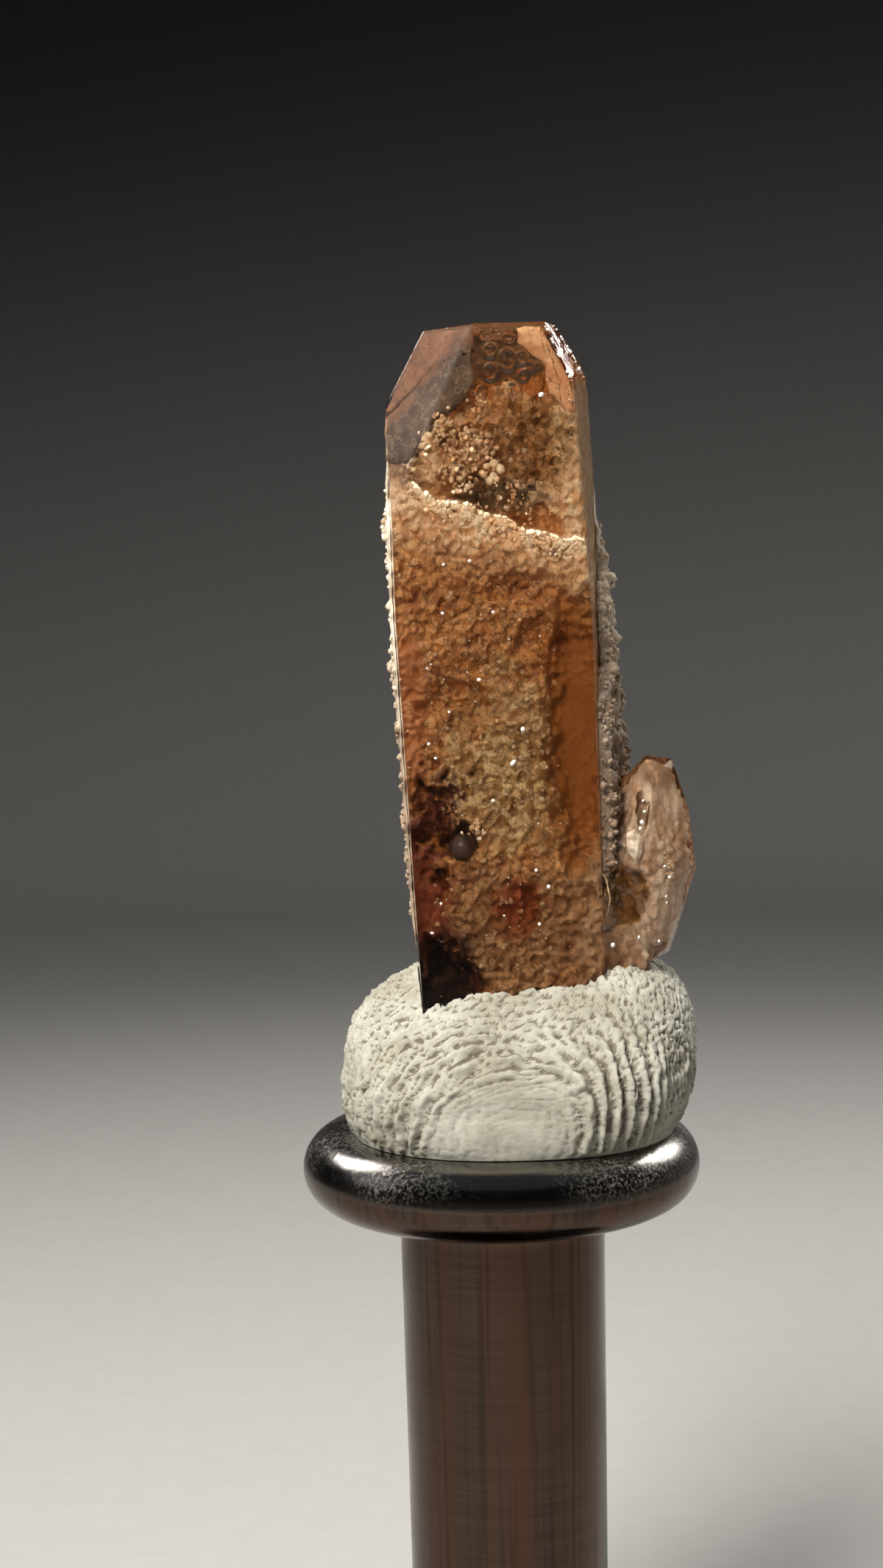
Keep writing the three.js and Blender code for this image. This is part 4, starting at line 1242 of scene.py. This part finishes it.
def sand_tones(tree):
    """The sand's colours: amber to tan, olive in the middle, peach under the ledge, dark red at the left."""
    coarse = specks(tree, 0.16, 0.8, 0.46, 0.12)
    speck, cloud = coarse.outputs["Specks"], coarse.outputs["Clouds"]
    where = in_millimetres(tree)
    veins = noise_of(tree, where, 3.6, 3.0, 0.6)
    veins = sums(tree, "ABSOLUTE", sums(tree, "SUBTRACT", veins, 0.5))
    veins = ranged(tree, veins, 0.0, 0.05, 1.0, 0.0)
    bent = put(tree, "ShaderNodeTexNoise", {"Vector": where}, Scale=4.0, Detail=2.0).outputs["Color"]
    bent = put(tree, "ShaderNodeVectorMath", {0: bent}, operation="SCALE", Scale=0.25).outputs[0]
    bent = put(tree, "ShaderNodeVectorMath", {0: where, 1: bent}, operation="ADD").outputs[0]
    flakes = put(tree, "ShaderNodeTexVoronoi", {"Vector": bent}, Scale=4.2)
    flake = put(tree, "ShaderNodeSeparateColor", {0: flakes.outputs["Color"]}).outputs[0]
    flake = ranged(tree, flake, 0.15, 0.95)
    tone = mixed(tree, cloud, (0.34, 0.115, 0.022), (0.66, 0.32, 0.10))
    tone = mixed(tree, times(tree, flake, 0.5), tone, (0.80, 0.45, 0.18))
    tone = mixed(tree, times(tree, speck, 0.4), tone, (0.95, 0.70, 0.40))
    tone = mixed(tree, times(tree, veins, 0.75), tone, (0.12, 0.036, 0.007))
    olive = mixed(tree, flake, (0.33, 0.185, 0.052), (0.80, 0.62, 0.35))
    olive = mixed(tree, times(tree, veins, 0.6), olive, (0.22, 0.12, 0.03))
    tone = mixed(tree, times(tree, spot(tree, 0.4, 27.5, 1.8, 2.2, 2.6, 0.5), 0.85), tone, olive)
    tone = mixed(tree, spot(tree, 2.0, 28.3, 0.8, 3.4, 1.2, 0.45), tone, (0.42, 0.19, 0.042))
    low = mixed(tree, flake, (0.27, 0.115, 0.032), (0.50, 0.29, 0.125))
    low = mixed(tree, times(tree, veins, 0.6), low, (0.12, 0.045, 0.010))
    tone = mixed(tree, spot(tree, 0.2, 23.4, 2.3, 1.7, 1.8), tone, low)
    tone = mixed(tree, spot(tree, -2.0, 28.4, 0.45, 3.0), tone, (0.50, 0.20, 0.068))
    tone = mixed(tree, spot(tree, 0.5, 24.1, 0.6, 0.7, 2.6, 0.6), tone, (0.34, 0.085, 0.016))
    tone = mixed(tree, spot(tree, -1.45, 26.3, 0.5, 1.1, 5.5, 0.3), tone, (0.12, 0.030, 0.010))
    tone = mixed(tree, spot(tree, -2.0, 24.0, 1.0, 2.0, 2.6, 0.6), tone, (0.20, 0.036, 0.008))
    # Painted shade: the sand at the bottom left corner, deep behind a clear pocket beside the putty, is painted
    # almost black.
    tone = mixed(tree, spot(tree, -1.3, 21.8, 1.1, 1.5, 2.0, 0.55), tone, (0.012, 0.004, 0.002))
    drawn = put(tree, "ShaderNodeMapping", {"Vector": where}, Scale=(4.5, 4.5, 0.9))
    drawn = noise_of(tree, drawn.outputs[0], 1.0, 4.0)
    drawn = ranged(tree, drawn, 0.36, 0.64)
    pink = mixed(tree, drawn, (0.62, 0.39, 0.24), (0.98, 0.84, 0.66))
    pink = mixed(tree, times(tree, speck, 0.35), pink, (1.0, 0.92, 0.80))
    pink = mixed(tree, times(tree, veins, 0.3), pink, (0.32, 0.18, 0.10))
    tone = mixed(tree, spot(tree, 4.25, 24.6, 1.45, 3.8, 0.3), tone, pink)
    tone = mixed(tree, spot(tree, 4.05, 27.25, 0.6, 0.55, 0.5), tone, (0.40, 0.25, 0.15))
    gritty = mixed(tree, flake, (0.16, 0.10, 0.065), (0.62, 0.48, 0.38))
    tone = mixed(tree, spot(tree, 2.95, 26.1, 0.36, 1.2, 1.2, 0.3), tone, gritty)
    tone = mixed(
        tree, spot(tree, 2.40, 23.5, 0.60, 2.1, 0.9, 0.5), tone,
        mixed(tree, flake, (0.34, 0.18, 0.08), (0.58, 0.37, 0.20))
    )
    amber = mixed(tree, flake, (0.28, 0.145, 0.035), (0.46, 0.27, 0.09))
    tone = mixed(tree, spot(tree, 3.20, 24.20, 0.56, 0.76, 0.9, 0.10), tone, amber)
    # Painted shade: the sand in the narrow recessed gap of the side crystal is darkened.
    gap = times(tree, spot(tree, 3.58, 26.25, 0.12, 0.44, 1.6, 0.2), 0.55)
    tone = mixed(tree, gap, tone, (0.16, 0.105, 0.070))
    split = put(tree, "ShaderNodeSeparateXYZ", {0: where})
    level = sums(tree, "ADD", split.outputs["Z"], times(tree, split.outputs["X"], 0.33))
    wander = noise_of(tree, where, 0.9, 4.0)
    slope = sums(tree, "ADD", level, times(tree, wander, 1.6))
    ledge = ranged(tree, slope, 32.5, 33.9, smooth=True)
    peach = mixed(tree, flake, (0.82, 0.50, 0.25), (0.97, 0.78, 0.52))
    peach = mixed(tree, times(tree, veins, 0.6), peach, (0.42, 0.20, 0.08))
    tone = mixed(tree, ledge, tone, peach)
    worm = mixed(tree, flake, (0.36, 0.20, 0.075), (0.72, 0.50, 0.27))
    worm = mixed(tree, times(tree, veins, 0.8), worm, (0.10, 0.05, 0.02))
    tone = mixed(tree, spot(tree, 1.05, 35.2, 1.05, 1.3, 1.2, 0.25), tone, worm)
    tone = mixed(tree, spot(tree, -0.95, 35.05, 0.22, 0.30, 1.5, 0.6), tone, (0.52, 0.27, 0.10))
    tone = mixed(tree, spot(tree, -1.20, 34.15, 0.22, 0.25, 1.5, 0.6), tone, (0.52, 0.27, 0.10))
    bank = mixed(tree, flake, (0.50, 0.26, 0.11), (0.80, 0.52, 0.28))
    tone = mixed(tree, spot(tree, -0.45, 34.9, 0.85, 0.7, 1.0, 0.4), tone, bank)
    dusty = mixed(tree, flake, (0.34, 0.17, 0.070), (0.62, 0.39, 0.20))
    tone = mixed(
        tree, spot(tree, -2.1, 34.6, 0.7, 1.2, 0.8), tone,
        mixed(tree, times(tree, veins, 0.7), dusty, (0.2, 0.1, 0.04))
    )
    above = ranged(tree, level, 33.44, 33.62)
    in_hollow = times(tree, spot(tree, 0.45, 33.98, 1.15, 0.44, 0.8), above)
    tone = mixed(tree, in_hollow, tone, mixed(tree, flake, (0.16, 0.15, 0.11), (0.72, 0.68, 0.54)))
    level = sums(tree, "ADD", level, times(tree, sums(tree, "SUBTRACT", wander, 0.5), 1.1))
    below = ranged(tree, level, 32.75, 33.15)
    below = times(tree, below, sums(tree, "SUBTRACT", 1.0, above))
    aside = ranged(tree, split.outputs["X"], 2.1, 1.7, 0.0, 0.85)
    cream = mixed(tree, flake, (0.90, 0.57, 0.31), (1.0, 0.84, 0.61))
    cream = mixed(tree, times(tree, veins, 0.5), cream, (0.50, 0.27, 0.12))
    return mixed(tree, times(tree, below, aside), tone, cream), coarse


sandy, tree, shader = material("sand_in_topaz")
tone, coarse = sand_tones(tree)
tree.links.new(tone, shader.inputs["Base Color"])
shader.inputs["Roughness"].default_value = 0.55
bump(tree, coarse.outputs["Height"], 0.8, 0.05, shader)

grainy, tree, shader = material("single_grains")
tone, coarse = sand_tones(tree)
pebble = put(tree, "ShaderNodeTexVoronoi", {"Vector": in_millimetres(tree)}, Scale=5.0).outputs["Color"]
lighter = put(tree, "ShaderNodeSeparateColor", {0: pebble}).outputs[0]
tone = mixed(tree, times(tree, lighter, 0.75), tone, (0.82, 0.62, 0.40))
tree.links.new(tone, shader.inputs["Base Color"])
shader.inputs["Roughness"].default_value = 0.45
bump(tree, coarse.outputs["Height"], 0.5, 0.03, shader)


def speckled_material(name, sizes, mask, dark, light, roughness, relief):
    """A two-toned grain: its tones follow the specks or the clouds, and its relief has a strength and depth."""
    look, tree, shader = material(name)
    coarse = specks(tree, *sizes)
    tree.links.new(mixed(tree, coarse.outputs[mask], dark, light), shader.inputs["Base Color"])
    shader.inputs["Roughness"].default_value = roughness
    bump(tree, coarse.outputs["Height"], *relief, shader)
    return look


creamy = speckled_material(
    "cream_grains", (0.12, 0.4, 0.5), "Clouds", (0.95, 0.64, 0.36), (1.0, 0.85, 0.62), 0.5, (0.3, 0.02)
)
# Painted glints: near-white tones for the specks that stand in for glints of light.
glint_white = speckled_material(
    "white_painted_glints", (0.05, 0.3, 0.5), "Specks", (0.90, 0.86, 0.80), (1.0, 0.98, 0.95), 0.25, (0.2, 0.01)
)
smoky = speckled_material(
    "smoky_bubble", (0.2, 0.3, 0.4), "Clouds", (0.040, 0.021, 0.013), (0.105, 0.065, 0.043), 0.35, (0.3, 0.02)
)
# Painted highlight: pale tones for the chip that stands in for a bright facet.
facet_highlight_look = speckled_material(
    "painted_facet_highlight_tones", (0.2, 0.25, 0.5, 0.3), "Clouds", (0.34, 0.25, 0.17), (0.82, 0.70, 0.54), 0.18, (0.3, 0.02)
)


def sheet_material(name, tones, upper_tones=None):
    """A matt sheet of painted light, clouded, ringed and crossed by fine lines, in three tones."""
    look, tree, shader = material(name)
    where = in_millimetres(tree)
    coarse = specks(tree, 0.2, 0.5, 0.45, 0.3)
    wandering = noise_of(tree, where, 2.6, 3.0)
    wandering = sums(tree, "ABSOLUTE", sums(tree, "SUBTRACT", wandering, 0.5))
    wandering = ranged(tree, wandering, 0.0, 0.022, 0.7, 0.0)
    rings = put(tree, "ShaderNodeTexVoronoi", {"Vector": where}, Scale=3.4).outputs["Distance"]
    rings = sums(tree, "ABSOLUTE", sums(tree, "SUBTRACT", rings, 0.26))
    rings = ranged(tree, rings, 0.06, 0.0, 0.0, 0.6)

    def clouded(dark, light, streak):
        tone = mixed(tree, coarse.outputs["Clouds"], dark, light)
        tone = mixed(tree, wandering, tone, streak)
        tone = mixed(tree, rings, tone, streak)
        return mixed(tree, times(tree, coarse.outputs["Specks"], 0.3), tone, streak)

    tone = clouded(*tones)
    if upper_tones:
        split = put(tree, "ShaderNodeSeparateXYZ", {0: where})
        above = sums(tree, "SUBTRACT", times(tree, split.outputs["Z"], 0.727), 27.64)
        above = sums(tree, "SUBTRACT", above, times(tree, split.outputs["X"], 0.687))
        torn = noise_of(tree, where, 2.2, 4.0, 0.65)
        above = sums(tree, "ADD", above, sums(tree, "SUBTRACT", torn, 0.5))
        above = ranged(tree, above, -0.14, 0.14)
        tone = mixed(tree, above, tone, clouded(*upper_tones))
    tree.links.new(tone, shader.inputs["Base Color"])
    shader.inputs["Roughness"].default_value = 0.5
    bump(tree, coarse.outputs["Height"], 0.4, 0.03, shader)
    return look


# Painted shade and reflection: dark to greyish brown tones for the dark ground seen through the tip and the
# reflection over it, with lighter streaks and rings; pink tones above a slanting line.
DARK_GROUND_AND_REFLECTION_TONES = ((0.080, 0.046, 0.024), (0.180, 0.110, 0.064), (0.42, 0.29, 0.18))
PINK_UPPER_TONES = ((0.25, 0.108, 0.052), (0.42, 0.205, 0.105), (0.15, 0.058, 0.026))
# Painted glow: orange tones for the sheet in the right of the tip.
glow_look = sheet_material("orange_glow_tones", ((0.70, 0.31, 0.13), (0.94, 0.57, 0.30), (0.45, 0.18, 0.07)))
shade_and_reflection_look = sheet_material("shade_reflection_and_pink_tones", DARK_GROUND_AND_REFLECTION_TONES, PINK_UPPER_TONES)

inner = (
    (sand, sandy), (side_sand, sandy), (root_sand, sandy), (grains, grainy), (clouds, creamy), (
        bubbles_and_glints, glint_white
    ),
    (dark_bubble, smoky), (loose_grains, grainy), (painted_facet_highlight, facet_highlight_look), (glow_sheet, glow_look),
    (rim, shade_and_reflection_look), (dark_ground_sheet, shade_and_reflection_look),
)
for piece, look_of_it in inner:
    piece.data.materials.append(look_of_it)
    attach(piece, "root")
    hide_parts("topaz_crystal")


# The crust is the pale crumbly rock that the crystal grew on. It clings to the back and wraps a little
# way round both sides, so it shows as a thin beaded line on the left and as a granular band on the right.
CRUST_BASE, CRUST_TOP = 23.1, 34.9
CRUST_THICKNESS = 0.75
CRUST_LEFT_PROUD = 0.06
CRUST_RIGHT_PROUD = 0.24
CRUST_FRONT_LIMIT = -33
CRUST_MIDDLE = np.array([0.15, 0.1])


def outline_reach(corners, direction):
    """Distance from the crust's middle line to the prism's outline in one direction."""
    best = 99.0
    for i in range(len(corners)):
        a = corners[i] - CRUST_MIDDLE
        edge = corners[(i + 1) % len(corners)] - corners[i]
        turn = direction[0] * edge[1] - direction[1] * edge[0]
        if abs(turn) < 1e-12:
            continue
        along = (a[0] * edge[1] - a[1] * edge[0]) / turn
        share = (a[0] * direction[1] - a[1] * direction[0]) / turn
        if along > 0 and -1e-6 <= share <= 1 + 1e-6:
            best = min(best, along)
    return best


CRUST_STEPS, CRUST_RINGS = ((150, 210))
outer, inner = [], []
for z in np.linspace(CRUST_BASE - 0.1, CRUST_TOP + 0.1, CRUST_RINGS):
    corners = prism_outline(z, 0.0)
    ragged = float(8.0 * field([(z, 0, 3)], 0.8)[0] + 4.5 * field([(z, 0, 8)], 0.3)[0])
    right_limit = max(-25 + 6 * (z - 30) + ragged, CRUST_FRONT_LIMIT)
    left_limit = 189 + float(13.0 * field([(z, 4, 3)], 0.8)[0] + 7.0 * field([(z, 4, 8)], 0.3)[0])
    left_limit = min(max(left_limit, 182), 200)
    near_end = math.exp(-min(z - CRUST_BASE, CRUST_TOP - z) / 0.7)
    level = z
    for degrees in np.linspace(right_limit, left_limit, CRUST_STEPS):
        z = level + 0.28 * near_end * float(field([(degrees / 16, 5, 0), (degrees / 5, 9, 0)], 1.0).sum())
        angle = math.radians(degrees)
        direction = np.array([math.cos(angle), math.sin(angle)])
        reach = outline_reach(corners, direction)
        inside = min(degrees - right_limit, left_limit - degrees)
        toward_back = float(smooth_step(inside, 12, 60))
        top = CRUST_TOP - 0.010 * max(0, 150 - degrees)
        ends = min(z - CRUST_BASE, top - z)
        proud = CRUST_LEFT_PROUD if degrees > 90 else CRUST_RIGHT_PROUD
        thick = proud + (CRUST_THICKNESS - proud) * toward_back
        fade = max(0.0, min(1.0, (inside + 1.0) / 8, ends / 0.8))
        outer.append((*(CRUST_MIDDLE + direction * (reach + 0.012 + thick * fade)), z, thick * fade))
        inner.append((*(CRUST_MIDDLE + direction * (reach + 0.006)), z))
outer = np.array(outer)
inner = np.array(inner)
thick = outer[:, 3]
outer = outer[:, :3]
cells = cell_reach(outer / 0.42)
ripple = (0.45 - cells) + 0.35 * field(outer, 0.2, 2.0) + 0.25 * field(outer, 0.1, 3.0) + 0.6 * field(
    outer, 1.1, 6.0
)
radial = outer - np.array([*CRUST_MIDDLE, 0])
radial[:, 2] = 0
radial /= np.linalg.norm(radial, axis=1, keepdims=True)
room = np.clip(thick * 0.75, 0, 0.30)
outer = outer + radial * (ripple * room)[:, None]
count = len(outer)
crust_faces = []
for level in range(CRUST_RINGS - 1):
    for i in range(CRUST_STEPS - 1):
        a = level * CRUST_STEPS + i
        crust_faces.append((a, a + 1, a + 1 + CRUST_STEPS, a + CRUST_STEPS))
        crust_faces.append((count + a, count + a + CRUST_STEPS, count + a + 1 + CRUST_STEPS, count + a + 1))
for i in range(CRUST_STEPS - 1):
    crust_faces.append((i, count + i, count + i + 1, i + 1))
    a = (CRUST_RINGS - 1) * CRUST_STEPS + i
    crust_faces.append((a, a + 1, count + a + 1, count + a))
for level in range(CRUST_RINGS - 1):
    a = level * CRUST_STEPS
    crust_faces.append((a, a + CRUST_STEPS, count + a + CRUST_STEPS, count + a))
    a += CRUST_STEPS - 1
    crust_faces.append((a, count + a, count + a + CRUST_STEPS, a + CRUST_STEPS))
crust = new_mesh("rock_crust", np.vstack([outer, inner]), crust_faces)


def grown(corners, room):
    """Corner points moved outward from their middle by a little room."""
    corners = np.array(corners)
    away = corners - corners.mean(axis=0)
    return corners + away / np.linalg.norm(away, axis=1, keepdims=True) * room


joined(crust, convex("side_room", grown(SIDE_CORNERS, 0.03)), "DIFFERENCE")
joined(crust, convex("root_room", grown(ROOT_CORNERS, 0.03)), "DIFFERENCE")
on_crust = outer[thick > np.where(outer[:, 0] > 0, 0.02, 0.05)]
chosen = draw.choice(len(on_crust), 900, replace=False)
right_side = np.flatnonzero((on_crust[:, 0] > 2.2) & (on_crust[:, 1] < 0.8))
left_side = np.flatnonzero((on_crust[:, 0] < -2.0) & (on_crust[:, 1] < 0.8))
chosen = np.concatenate([
    chosen,
    draw.choice(right_side, min(len(right_side), 640), replace=False),
    draw.choice(left_side, min(len(left_side), 160), replace=False),
])
crumb_sizes = np.clip(draw.lognormal(-2.95, 0.35, len(chosen)), 0.025, 0.12)
crumbs_on_it = lumps("crust_crumbs", on_crust[chosen], crumb_sizes, 0.10, 21)
crumbly, tree, shader = material("crumbly_rock")
crumbs = specks(tree, 0.10, 0.8, 0.5, 0.2)
pebble = put(tree, "ShaderNodeTexVoronoi", {"Vector": in_millimetres(tree)}, Scale=5.0).outputs["Color"]
pebble = put(tree, "ShaderNodeSeparateColor", {0: pebble}).outputs[0]
tone = mixed(tree, crumbs.outputs["Clouds"], (0.46, 0.32, 0.195), (0.80, 0.67, 0.48))
tone = mixed(tree, times(tree, pebble, 0.7), tone, (0.94, 0.87, 0.73))
tone = mixed(tree, times(tree, crumbs.outputs["Specks"], 0.5), tone, (0.22, 0.135, 0.075))
split = put(tree, "ShaderNodeSeparateXYZ", {0: in_millimetres(tree)})
patchy = sums(tree, "ADD", split.outputs["Z"], times(tree, crumbs.outputs["Clouds"], 1.6))
lower = ranged(tree, patchy, 32.4, 28.6)
tone = mixed(tree, times(tree, lower, 0.70), tone, (0.19, 0.108, 0.060))
# Painted shade: the crust is darkened towards its right side.
shaded = ranged(tree, split.outputs["X"], 1.0, 2.4, 0.0, 0.45)
tone = mixed(tree, shaded, tone, (0.26, 0.165, 0.10))
tree.links.new(tone, shader.inputs["Base Color"])
shader.inputs["Roughness"].default_value = 0.85
bump(tree, crumbs.outputs["Height"], 0.6, 0.05, shader)
crust.data.materials.append(crumbly)
crumbs_on_it.data.materials.append(crumbly)
for piece in (crust, crumbs_on_it):
    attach(piece, "root")
    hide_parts("matrix_crust")
